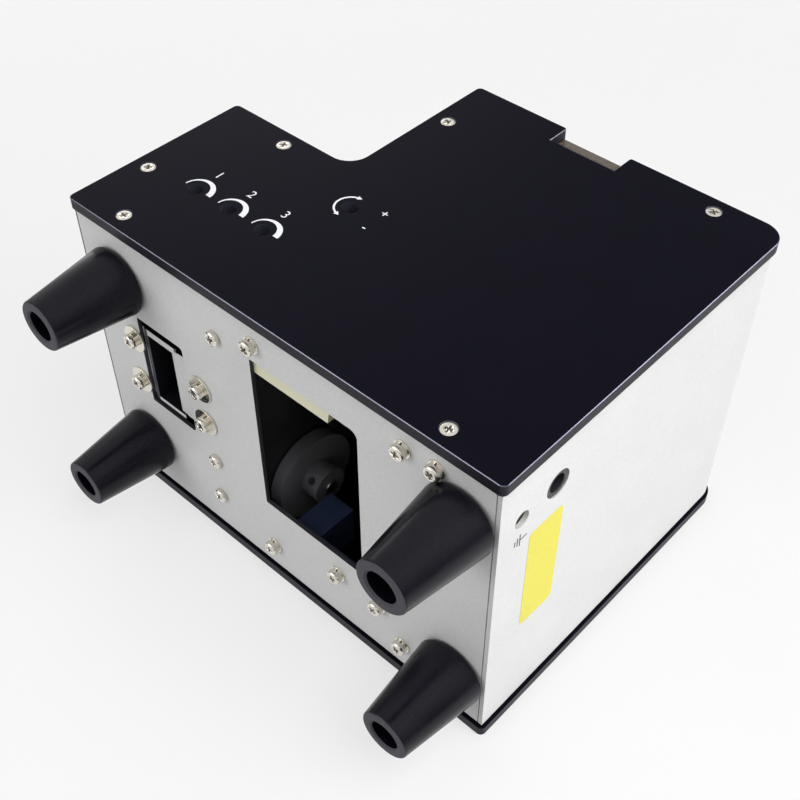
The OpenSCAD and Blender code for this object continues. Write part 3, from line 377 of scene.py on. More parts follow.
def ease(
    piece: Piece,
    width: float,
    segments: int = 2,
    where: Optional[Callable[[Vector, Vector], bool]] = None,
    material: int = -1,
) -> Piece:
    """Rounds or chamfers the sharp edges of a piece.

    Args:
        piece: The piece to ease.
        width: Width of the rounded edge.
        segments: Steps of the round; one makes a chamfer.
        where: Test of an edge's middle and direction; all sharp edges are eased without it.
        material: Slot of the finish on the eased edge, or -1 to keep the finish of its neighbours.

    Returns:
        The eased piece.
    """
    graph = bmesh.new()
    graph.from_mesh(piece.data)
    weight = graph.edges.layers.float.new("bevel_weight_edge")
    for edge in graph.edges:
        a, b = (vertex.co for vertex in edge.verts)
        picked = edge.is_manifold and edge.calc_face_angle() > math.radians(SHARP)
        if picked and (where is None or where((a + b) / 2, (b - a).normalized())):
            edge[weight] = 1.0
    graph.to_mesh(piece.data)
    graph.free()
    return apply_modifier(
        piece, "BEVEL", limit_method="WEIGHT", width=width, segments=segments, material=material
    )


def along(axis: int) -> Callable[[Vector, Vector], bool]:
    """Test for edges that run along an axis, given by its index."""
    return lambda _, way: abs(way[axis]) > STRAIGHT


def shift(piece: Piece, where: Callable[[Vector], bool], by: Sequence[float]) -> Piece:
    """Moves part of a piece.

    Args:
        piece: Piece to change.
        where: Tells whether the vertex at a place is moved.
        by: The move.

    Returns:
        The same piece.
    """
    with editing(piece):
        graph = bmesh.from_edit_mesh(piece.data)
        for vertex in graph.verts:
            vertex.select_set(where(vertex.co))
        graph.select_flush_mode()
        bmesh.update_edit_mesh(piece.data)
        bpy.ops.transform.translate(value=by)
    return piece


def node_copy(node: str) -> Piece:
    """Copies a solid of the frame as a clean mesh of flat faces.

    Args:
        node: Name of the solid.

    Returns:
        A new piece with welded corners.
    """
    piece = bpy.data.objects.new(f"{node}_dressed", frame["nodes"][node].data.copy())
    bpy.context.scene.collection.objects.link(piece)
    with editing(piece):
        bpy.ops.mesh.remove_doubles(threshold=WELD)
        bpy.ops.mesh.dissolve_limited(angle_limit=math.radians(FLAT))
    return piece


def solids_of(node: str) -> list[tuple[Vector, Vector]]:
    """Finds the separate solids of a node.

    Args:
        node: Name of the node.

    Returns:
        Lowest and highest corner of each solid, in order of the lowest corners.
    """
    piece = node_copy(node)
    with editing(piece):
        bpy.ops.mesh.separate(type="LOOSE")
    loose = [o for o in bpy.context.selected_objects if o.type == "MESH"]
    boxes = []
    for part in loose:
        corners = [Vector(c) for c in part.bound_box]
        boxes.append((Vector(map(min, *corners)), Vector(map(max, *corners))))
        bpy.data.objects.remove(part)
    return sorted(boxes, key=lambda box: tuple(round(x, DIGITS) for x in box[0]))


def middle(box: tuple[Vector, Vector]) -> Vector:
    """Middle of a box given by two corners."""
    return (box[0] + box[1]) / 2


class Nodes:
    """Node tree of a material or a world, with short calls that fill it."""

    def __init__(self, owner: bpy.types.ID, bare: bool = True) -> None:
        """Turns on the nodes of a material or a world.

        Args:
            owner: The material or world.
            bare: Whether its ready-made nodes are removed.
        """
        owner.use_nodes = True
        self.tree = owner.node_tree
        if bare:
            self.tree.nodes.clear()

    def fill(self, node: bpy.types.Node, inputs: Inputs) -> bpy.types.Node:
        """Sets the inputs of a node.

        Args:
            node: The node.
            inputs: Socket to join or constant, for each input by its name or number.

        Returns:
            The same node.
        """
        for key, value in inputs.items():
            if isinstance(value, Socket):
                self.tree.links.new(value, node.inputs[key])
            else:
                node.inputs[key].default_value = value
        return node

    def add(self, kind: str, inputs: Optional[Inputs] = None, **settings: object) -> bpy.types.Node:
        """Adds a shader node.

        Args:
            kind: Type of the node, without the start that all types share.
            inputs: Sockets and constants of its inputs.
            settings: Values of its properties.

        Returns:
            The new node.
        """
        node = self.tree.nodes.new(f"ShaderNode{kind}")
        for key, value in settings.items():
            setattr(node, key, value)
        return self.fill(node, inputs or {})

    def mix(self, share: Socket, first: Socket, second: Socket) -> Socket:
        """Mixes two shaders, with this share of the second."""
        return self.add("MixShader", {"Fac": share, 1: first, 2: second}).outputs[0]

    def larger(self, first: Socket, second: Socket) -> Socket:
        """Larger one of two values."""
        return self.add("Math", {0: first, 1: second}, operation="MAXIMUM").outputs[0]

    def span(self, source: Socket, limits: Sequence[float], kind: str = "LINEAR") -> Socket:
        """Carries a value over from the first two limits to the other two."""
        inputs = dict(zip(RANGE, limits), Value=source)
        return self.add("MapRange", inputs, interpolation_type=kind).outputs["Result"]


class Graph(Nodes):
    """Nodes of one material: a principled surface and patterns in object coordinates."""

    def __init__(self, name: str) -> None:
        """Starts a material.

        Args:
            name: Name of the material.
        """
        self.material = bpy.data.materials.new(name)
        super().__init__(self.material, bare=False)
        self.surface = self.tree.nodes["Principled BSDF"]
        self.place = self.add("TexCoord").outputs["Object"]

    def noise(self, size: float, detail: float = 2.0, stretch: Sequence[float] = (1, 1, 1)) -> Socket:
        """Noise with features of about this size.

        Args:
            size: Size of a feature in metres.
            detail: Number of finer layers.
            stretch: Factor of the pattern along each axis.

        Returns:
            A value around one half.
        """
        mapping = self.add("Mapping", {"Scale": stretch, "Vector": self.place})
        inputs = {"Scale": 1 / size, "Detail": detail, "Vector": mapping.outputs["Vector"]}
        return self.add("TexNoise", inputs).outputs[0]

    def cells(self, size: float, edges: bool = False) -> Socket:
        """Cell pattern.

        Args:
            size: Size of a cell in metres.
            edges: Whether the distance to the nearest cell edge is wanted.

        Returns:
            That distance, or a value for each cell.
        """
        feature, output = ("DISTANCE_TO_EDGE", "Distance") if edges else ("F1", "Color")
        inputs = {"Scale": 1 / size, "Vector": self.place}
        return self.add("TexVoronoi", inputs, feature=feature).outputs[output]

    def bands(self, size: float, direction: str) -> Socket:
        """Regular bands along an axis, each about this wide."""
        inputs = {"Scale": BAND_SCALE / size, "Vector": self.place}
        return self.add("TexWave", inputs, bands_direction=direction, wave_profile="SIN").outputs["Fac"]

    def mean(self, first: Socket, second: Socket, share: float = 0.5) -> Socket:
        """Weighted mean of two values, with this share of the second."""
        return self.add("MapRange", {"To Min": first, "To Max": second, "Value": share}).outputs["Result"]

    def ramp(
        self, source: Socket, low: Colour, high: Colour, span: tuple[float, float] = NOISE_SPAN
    ) -> Socket:
        """Colour that follows a value.

        Args:
            source: The value.
            low: Colour at the start of the span.
            high: Colour at its end.
            span: Values that the colour changes between.

        Returns:
            A colour socket.
        """
        node = self.add("ValToRGB", {"Fac": source})
        for element, position, colour in zip(node.color_ramp.elements, span, (low, high)):
            element.position = position
            element.color = (*colour, 1.0)
        return node.outputs["Color"]

    def bump(self, height: Socket, depth: float) -> Socket:
        """Normal of a surface that rises by a depth in metres with a value."""
        return self.add("Bump", {"Strength": 1.0, "Distance": depth, "Height": height}).outputs["Normal"]


def tinted(colour: Colour, factor: float) -> Colour:
    """Colour made lighter or darker by a factor."""
    return tuple(min(1.0, channel * factor) for channel in colour)


@dataclass(frozen=True)
class Finish:
    """Coated, moulded or plated surface: a tone that drifts slowly under a fine grain."""

    name: str
    colour: Colour
    roughness: float
    metallic: float = 0.0
    specular: float = 0.5
    coat: float = 0.0
    spread: float = 0.10
    rough_spread: float = 0.06
    grain: float = 0.5 * MM
    relief: float = 0.012 * MM
    patch: float = 14 * MM
    patch_detail: float = 3.0
    stretch: tuple[float, float, float] = (1.0, 1.0, 1.0)
    made: ClassVar[dict[str, bpy.types.Material]] = {}

    def material(self) -> bpy.types.Material:
        """Makes the material of this finish once.

        Returns:
            The same material at each call.
        """
        if self.name not in self.made:
            graph = Graph(self.name)
            self.paint(graph)
            self.made[self.name] = graph.material
        return self.made[self.name]

    def paint(self, graph: Graph) -> None:
        """Draws the tone, gloss and relief into a node graph.

        Args:
            graph: Node graph of the material.
        """
        drift = graph.noise(self.patch, self.patch_detail)
        speck = graph.noise(self.grain, stretch=self.stretch)
        gloss = (self.roughness - self.rough_spread, self.roughness + self.rough_spread)
        graph.fill(graph.surface, {
            "Base Color": self.tone(graph, drift, speck),
            "Roughness": graph.span(drift, (*NOISE_SPAN, *gloss)),
            "Normal": self.normal(graph, speck),
            "Metallic": self.metallic,
            "Specular IOR Level": self.specular,
            "Coat Weight": self.coat,
        })

    def tone(self, graph: Graph, drift: Socket, speck: Socket) -> Socket:
        """Colour between a darker and a lighter tone.

        Args:
            graph: Node graph of the material.
            drift: Slow change over the surface.
            speck: Fine grain.

        Returns:
            A colour socket.
        """
        return graph.ramp(graph.mean(drift, speck), *self.shades(self.spread))

    def normal(self, graph: Graph, speck: Socket) -> Socket:
        """Normal of the fine grain."""
        return graph.bump(speck, self.relief)

    def shades(self, spread: float) -> tuple[Colour, Colour]:
        """Colour made darker and lighter by a share."""
        return tinted(self.colour, 1 - spread), tinted(self.colour, 1 + spread)


@dataclass(frozen=True)
class FlakeCoat(Finish):
    """Powder coat with metal flakes: each small cell has a tone of its own."""

    flake: float = 0.22 * MM
    flake_spread: float = 0.10
    flake_share: float = 0.7
    flake_span: tuple[float, float] = (0.2, 0.8)

    def tone(self, graph: Graph, drift: Socket, speck: Socket) -> Socket:
        """Tones of single flakes over the slow drift."""
        flakes = graph.mean(drift, graph.cells(self.flake), self.flake_share)
        return graph.ramp(flakes, *self.shades(self.flake_spread), self.flake_span)


@dataclass(frozen=True)
class ClearFinish(Finish):
    """Clear or tinted acrylic that light passes through."""

    ior: float = 1.49
    passing: float = 1.0

    def paint(self, graph: Graph) -> None:
        """Adds transmission to the base finish."""
        super().paint(graph)
        graph.fill(graph.surface, {"IOR": self.ior, "Transmission Weight": self.passing})


@dataclass(frozen=True)
class BoardFinish(Finish):
    """Circuit board lacquer with faint tracks below it."""

    track: float = 3.2 * MM
    track_colour: Colour = (0.06, 0.30, 0.15)
    track_span: tuple[float, float] = (0.05, 0.09)

    def tone(self, graph: Graph, drift: Socket, speck: Socket) -> Socket:
        """Tracks along the edges of a cell pattern."""
        tracks = graph.cells(self.track, edges=True)
        return graph.ramp(tracks, self.track_colour, self.colour, self.track_span)

    def normal(self, graph: Graph, speck: Socket) -> Socket:
        """Relief of the tracks."""
        return graph.bump(graph.cells(self.track, edges=True), self.relief)


@dataclass(frozen=True)
class WoundFinish(Finish):
    """Enamelled wire in close turns along Z."""

    turn: float = 0.5 * MM
    gap_tone: float = 0.35
    gap_span: tuple[float, float] = (0.1, 0.7)
    gap_depth: float = 0.5 / 3 * MM

    def tone(self, graph: Graph, drift: Socket, speck: Socket) -> Socket:
        """Dark gaps between the turns."""
        gaps = tinted(self.colour, self.gap_tone)
        return graph.ramp(graph.bands(self.turn, "Z"), gaps, self.colour, self.gap_span)

    def normal(self, graph: Graph, speck: Socket) -> Socket:
        """Relief of the turns."""
        return graph.bump(graph.bands(self.turn, "Z"), self.gap_depth)


@dataclass(frozen=True)
class LitFinish(Finish):
    """Lit segment of a display."""

    glow: float = 2.5

    def paint(self, graph: Graph) -> None:
        """Adds an even glow."""
        super().paint(graph)
        graph.fill(graph.surface, {"Emission Color": (*self.colour, 1.0), "Emission Strength": self.glow})


FINISHES: dict[str, Finish] = {finish.name: finish for finish in (
    Finish(
        "plate_black", (0.0035, 0.0033, 0.0075), 0.46, specular=0.035, spread=0.2, rough_spread=0.02,
        grain=0.4 * MM, relief=0.02 * MM,
    ),
    FlakeCoat("silver_coat", (0.63, 0.635, 0.63), 0.50, metallic=0.10, specular=0.3, relief=0.014 * MM),
    Finish(
        "foot_rubber", (0.0042, 0.0040, 0.0078), 0.25, specular=0.20, spread=0.25, grain=0.8 * MM,
        relief=0.010 * MM,
    ),
    Finish(
        "nickel_screw", (0.74, 0.70, 0.62), 0.20, metallic=1.0, grain=0.35 * MM, relief=0.004 * MM,
        patch=2.5 * MM,
    ),
    ClearFinish(
        "smoked_clear", (0.52, 0.43, 0.36), 0.06, rough_spread=0.02, relief=0.0, spread=0.04,
        patch=60 * MM, passing=0.86,
    ),
    ClearFinish(
        "clear", (0.93, 0.96, 0.97), 0.04, rough_spread=0.02, relief=0.0, spread=0.02, patch=60 * MM
    ),
    Finish("cream", (0.74, 0.72, 0.52), 0.45, grain=0.6 * MM, spread=0.05),
    Finish("drum_grey", (0.018, 0.018, 0.022), 0.5, grain=0.6 * MM, relief=0.015 * MM),
    Finish("wheel_grey", (0.15, 0.15, 0.165), 0.62, specular=0.25, relief=0.02 * MM),
    Finish(
        "steel", (0.58, 0.59, 0.61), 0.30, metallic=1.0, grain=0.25 * MM, relief=0.003 * MM,
        stretch=(12, 1, 12),
    ),
    Finish(
        "alu", (0.11, 0.11, 0.12), 0.45, metallic=1.0, grain=0.30 * MM, relief=0.004 * MM, stretch=(1, 8, 8)
    ),
    Finish("motor_dark", (0.045, 0.045, 0.055), 0.40, metallic=0.3),
    Finish("dark_blue", (0.020, 0.030, 0.070), 0.42, grain=0.6 * MM, spread=0.15),
    WoundFinish("copper", (0.50, 0.20, 0.09), 0.32, metallic=0.8),
    BoardFinish("board", (0.015, 0.14, 0.065), 0.35, coat=0.3, relief=0.02 * MM),
    Finish("trimmer_blue", (0.03, 0.10, 0.38), 0.32),
    Finish("trimmer_white", (0.72, 0.70, 0.63), 0.45, grain=0.4 * MM),
    Finish("black_plastic", (0.018, 0.018, 0.022), 0.42, spread=0.15),
    ClearFinish("lens_red", (0.55, 0.03, 0.035), 0.06, rough_spread=0.02, relief=0.0, passing=0.85),
    Finish("button_green", (0.03, 0.30, 0.10), 0.30, coat=0.3),
    Finish("button_grey", (0.085, 0.09, 0.10), 0.34, coat=0.2),
)}
# Side walls of the side plates: lighter and bluer than their faces, a painted sheen.
PLATE_SIDE_SHEEN = Finish("plate_side_sheen", (0.013, 0.0125, 0.019), 0.42, specular=0.12, spread=0.3)
# Lower end faces of the feet: much lighter than the rubber, painted light on the end ring.
FOOT_END_LIT = Finish("foot_end_lit", (0.060, 0.056, 0.068), 0.62, specular=0.2, spread=0.15, relief=0.02 * MM)
# Outer chamfers of the side plates: lighter metal, a painted highlight along the edges.
PLATE_EDGE_GLINT = Finish("plate_edge_glint", (0.17, 0.17, 0.22), 0.36, metallic=1.0, spread=0.2, grain=0.8 * MM)
# Painted shade on the walls of the sheet openings and in dark lines under front edges.
EDGE_SHADE = Finish("edge_shade", (0.045, 0.045, 0.055), 0.5, metallic=0.4, specular=0.3, spread=0.2)
# Painted shade inside the drop duct.
DUCT_SHADE = Finish("duct_shade", (0.006, 0.006, 0.009), 0.6, specular=0.1, spread=0.3)
# Darker metal in the cross recesses of the screws: painted shade.
RECESS_SHADE = Finish(
    "recess", (0.16, 0.15, 0.13), 0.4, metallic=1.0, spread=0.2, grain=0.35 * MM, relief=0.004 * MM
)
WHITE_INK = Finish("white_ink", (0.80, 0.81, 0.84), 0.55, grain=0.3 * MM, spread=0.06, relief=0.004 * MM)
BLACK_INK = Finish("black_ink", (0.02, 0.02, 0.022), 0.55, grain=0.3 * MM, spread=0.2, relief=0.004 * MM)
YELLOW_FILM = Finish("yellow_film", (0.69, 0.63, 0.05), 0.45, specular=0.25, grain=1.2 * MM, spread=0.05)
LIT_RED = LitFinish("lit_red", (0.95, 0.05, 0.03), 0.4)
DARK_SEGMENT = Finish("dark_segment", (0.06, 0.012, 0.012), 0.45)


def dress(piece: Piece, *finishes: Finish) -> Piece:
    """Gives a piece its finishes.

    Args:
        piece: The piece to dress.
        finishes: One finish for each of its slots.

    Returns:
        The same piece.
    """
    piece.data.materials.clear()
    for finish in finishes:
        piece.data.materials.append(finish.material())
    return piece


def install(piece: Piece, body: str, nodes: Sequence[str] = ()) -> Piece:
    """Lets a piece ride on a body and stand for the solids that it shows.

    Args:
        piece: The finished piece.
        body: Body that carries it.
        nodes: Solids that it stands for.

    Returns:
        The same piece.
    """
    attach(piece, body)
    if nodes:
        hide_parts(*nodes)
    LOG.info("%s on %s: %d faces", piece.name, body, len(piece.data.polygons))
    return piece


def stand_for(piece: Piece, node: str) -> Piece:
    """Dresses a piece as a solid of the frame and puts it in the solid's place.

    Args:
        piece: The finished mesh.
        node: Name of the solid.

    Returns:
        The same piece.
    """
    slot = SLOT_OF[node]
    if not piece.data.materials or piece.data.materials[0] != FINISHES[slot].material():
        dress(piece, FINISHES[slot])
    return install(piece, BODY_OF[node], (node,))


def eased(**widths: float) -> dict[str, float]:
    """Field with the width of the eased edges of each solid, given in millimetres."""
    return field(default_factory=lambda: {node: width * MM for node, width in widths.items()})


@dataclass
class SubAssembly:
    """Solids of one group, each with the width of its eased edges."""

    edges: dict[str, float] = eased()

    def refine(self) -> None:
        """Replaces each solid by a copy with eased edges."""
        for node, width in self.edges.items():
            stand_for(smooth(ease(node_copy(node), width)), node)

    def details(self) -> None:
        """Adds what the solids do not show."""

    def build(self) -> None:
        """Refines the solids and adds the details."""
        self.refine()
        self.details()


@dataclass
class Ink:
    """Printed marks, drawn flat in the XY plane and then laid on a face."""

    depth: float = 0.03 * MM
    corner: float = 0.25
    tip: float = 6.0
    corner_steps: int = 3
    sides: int = 96
    sweep_steps: int = 40

    def bar(self, name: str, width: float, height: float, centre: Sequence[float] = (0, 0)) -> Piece:
        """Straight bar with slightly rounded corners.

        Args:
            name: Name of the mark.
            width: Size in the reading direction.
            height: Size in the up direction.
            centre: Middle of the bar.

        Returns:
            The flat mark.
        """
        low = (centre[0] - width / 2, centre[1] - height / 2, 0)
        high = (centre[0] + width / 2, centre[1] + height / 2, self.depth)
        corner = self.corner * min(width, height)
        return ease(add_box(name, low, high), corner, self.corner_steps, where=along(2))

    def triangle(self, name: str, radius: float, centre: Sequence[float], turn: float) -> Piece:
        """Triangle with rounded corners.

        Args:
            name: Name of the mark.
            radius: Distance of the corners from the middle.
            centre: Middle of the triangle.
            turn: Angle in degrees that it points along.

        Returns:
            The flat mark.
        """
        mark = add_disc(name, radius, self.depth, sides=3)
        turned = Matrix.Rotation(math.radians(turn - 90), 4, "Z")
        mark.matrix_world = Matrix.Translation((*centre, self.depth / 2)) @ turned
        return ease(settle(mark), radius / self.tip, self.corner_steps, where=along(2))

    def crescent(self, name: str, inner: float, outer: float, shift: float) -> Piece:
        """Crescent over the upper half of a hole, thin at the left and thick at the right.

        Args:
            name: Name of the mark.
            inner: Radius of its inner edge.
            outer: Radius of its outer edge.
            shift: Shift of the outer edge to the right.

        Returns:
            The flat mark.
        """
        mark = add_disc(name, outer, self.depth, (shift, 0, self.depth / 2), self.sides)
        hole = add_disc("hole", inner, 4 * self.depth, sides=self.sides)
        reach = 2 * outer
        lower = add_box("lower", (-reach, -reach, -self.depth), (reach, 0, 2 * self.depth))
        return cut(mark, hole, lower)

    def sweep(self, name: str, radius: float, width: float, start: float, end: float) -> Piece:
        """Band along an arc.

        Args:
            name: Name of the mark.
            radius: Radius of the band's middle.
            width: Width of the band.
            start: First angle in degrees.
            end: Last angle in degrees.

        Returns:
            The flat mark.
        """
        mark = draw_line(name, [(radius - width / 2, 0, 0), (radius + width / 2, 0, 0)])
        with editing(mark):
            bpy.ops.transform.rotate(value=-math.radians(start), orient_axis="Z", center_override=(0, 0, 0))
            bpy.ops.mesh.spin(
                steps=self.sweep_steps, angle=math.radians(start - end), center=(0, 0, 0), axis=(0, 0, 1)
            )
        apply_modifier(mark, "SOLIDIFY", thickness=self.depth, offset=0.0)
        with editing(mark):
            bpy.ops.mesh.normals_make_consistent(inside=False)
        return mark

    def ring(self, name: str, radius: float, width: float) -> Piece:
        """Closed ring of a middle radius and a width."""
        mark = add_disc(name, radius + width / 2, self.depth, (0, 0, self.depth / 2))
        return cut(mark, add_disc("hole", radius - width / 2, 4 * self.depth))

    def figure(self, name: str, text: str, size: float) -> Piece:
        """Plain number or sign, centred.

        Args:
            name: Name of the mark.
            text: The number or sign.
            size: Height of the type.

        Returns:
            The flat mark.
        """
        bpy.ops.object.select_all(action="DESELECT")
        bpy.ops.object.text_add()
        mark = newest(name)
        mark.data.body, mark.data.size = text, size
        mark.data.align_x = mark.data.align_y = "CENTER"
        mark.data.extrude = self.depth / 2
        select(mark)
        bpy.ops.object.convert(target="MESH")
        return newest(name)

    def lay(self, mark: Piece, face: Face, centre: Sequence[float], tilt: float = 0.0) -> Piece:
        """Lays a drawn mark on a face.

        Args:
            mark: Mark drawn about the origin.
            face: Face that it goes on.
            centre: Point of the face under the drawing's origin.
            tilt: Turn about the reading direction in degrees.

        Returns:
            The settled mark.
        """
        lean = Matrix.Rotation(math.radians(tilt), 4, "X")
        mark.matrix_world = Matrix.Translation(centre) @ face.basis @ lean
        return settle(mark)


INK = Ink()


@dataclass
class SidePlates(SubAssembly):
    """Two black side plates with chamfered outlines and the marks around the adjusting holes."""

    chamfer: float = 0.20 * MM
    hole_zone: float = 4.6 * MM
    drill_past: float = 0.004
    sharp: float = 25.0
    mark_inner: float = 4.65 * MM
    mark_outer: float = 5.9 * MM
    mark_shift: float = 0.8 * MM
    arrow_radius: float = 5.3 * MM
    arrow_width: float = 0.7 * MM
    arrow_reach: float = 78.0
    arrow_head: float = 1.6
    figure_size: float = 5.0 * MM
    figure_rise: float = 10.0 * MM
    sign_gap: float = 10.5 * MM
    sign_rise: float = 4.5 * MM

    def axes(self) -> list[Vector]:
        """Axes of all screws and adjusters that pass a side plate."""
        ends = [middle(box) for box in solids_of("side_screws") + [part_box(node) for node in TRIMMERS]]
        return [Vector((0, end.y, end.z)) for end in ends] + [self.gate_axis()]

    def gate_axis(self) -> Vector:
        """Axis of the gate shaft, which is round at the rear of its crank."""
        low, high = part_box("gate_shaft")
        return Vector((0, high.y - (high.z - low.z) / 2, middle((low, high)).z))

    def refine(self) -> None:
        """Chamfers the outline of each plate as a blank and then drills the holes of the solid into it."""
        for node in ("right_side_plate", "left_side_plate"):
            plate = self.blank(node)
            plugs = cut(copy_of(plate, "plugs"), node_copy(node))
            past = (1.0 + self.drill_past, 1.0, 1.0)
            with editing(plugs):
                bpy.ops.transform.resize(value=past, center_override=middle(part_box(node)))
            dress(plate, FINISHES["plate_black"], PLATE_EDGE_GLINT, PLATE_SIDE_SHEEN)
            # Side walls take slot 2, the painted sheen; the faces keep the black coat.
            for face in plate.data.polygons:
                face.material_index = 2 if abs(face.normal.x) < SIDEWAYS else 0
            outer = max(abs(corner.x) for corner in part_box(node)) - SLACK
            # The outer chamfers take slot 1, the painted highlight.
            ease(plate, self.chamfer, 1, where=lambda at, _: abs(at.x) > outer, material=1)
            stand_for(smooth(cut(plate, plugs), self.sharp), node)

    def blank(self, node: str) -> Piece:
        """Plate without its holes: the wall of its outline, closed on both sides.

        Args:
            node: Name of the plate's solid.

        Returns:
            A closed piece with the outline of the solid.
        """
        axes, (low, high) = self.axes(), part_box(node)
        plate = node_copy(node)
        plate.name = f"{node}_chamfered"
        with editing(plate, "FACE"):
            graph = bmesh.from_edit_mesh(plate.data)
            for face in graph.faces:
                at = face.calc_center_median()
                near = min((Vector((0, at.y, at.z)) - axis).length for axis in axes)
                face.select_set(abs(face.normal.x) > SIDEWAYS or near < self.hole_zone)
            bmesh.update_edit_mesh(plate.data)
            bpy.ops.mesh.delete(type="FACE")
            bpy.ops.mesh.select_mode(type="EDGE")
            for side in (low.x, high.x):
                bpy.ops.mesh.select_all(action="DESELECT")
                graph = bmesh.from_edit_mesh(plate.data)
                for edge in graph.edges:
                    rim = all(abs(vertex.co.x - side) < SLACK for vertex in edge.verts)
                    edge.select_set(rim and edge.is_boundary)
                bmesh.update_edit_mesh(plate.data)
                bpy.ops.mesh.edge_face_add()
                if side > 0 and side == high.x:
                    bpy.ops.transform.translate(value=(-INK.depth, 0, 0))
            bpy.ops.mesh.select_all(action="SELECT")
            bpy.ops.mesh.normals_make_consistent(inside=False)
        return plate

    def details(self) -> None:
        """Prints the marks of the three trimmers and of the gate on the right plate."""
        face_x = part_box("right_side_plate")[1].x - INK.depth
        master = INK.crescent("crescent", self.mark_inner, self.mark_outer, self.mark_shift)
        for number, node in enumerate(TRIMMERS, 1):
            centre = middle(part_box(node))
            centre.x = face_x
            self.print_on(copy_of(master, f"{node}_mark"), centre)
            figure = INK.figure(f"{node}_figure", str(number), self.figure_size)
            self.print_on(figure, centre + Vector((0, 0, self.figure_rise)))
        drop_away(master)
        self.gate_marks(face_x)

    def gate_marks(self, face_x: float) -> None:
        """Prints the double arrow and the signs beside the gate hole.

        Args:
            face_x: Where the marks lie.
        """
        centre = self.gate_axis()
        centre.x = face_x
        start, end = 180 - self.arrow_reach, 180 + self.arrow_reach
        arrow = [INK.sweep("gate_arrow", self.arrow_radius, self.arrow_width, start, end)]
        for angle, lean in ((start, -90), (end, 90)):
            way = math.radians(angle)
            tip = (self.arrow_radius * math.cos(way), self.arrow_radius * math.sin(way))
            arrow.append(INK.triangle("head", self.arrow_head * self.arrow_width, tip, angle + lean))
        self.print_on(join(*arrow), centre)
        for sign, side in (("+", 1), ("-", -1)):
            mark = INK.figure(f"gate_{'plus' if side > 0 else 'minus'}_mark", sign, self.figure_size)
            self.print_on(mark, centre + Vector((0, self.sign_gap, side * self.sign_rise)))

    def print_on(self, mark: Piece, centre: Vector) -> None:
        """Lays a white mark on the right plate."""
        install(dress(INK.lay(mark, Face.RIGHT, centre), WHITE_INK), "chassis")


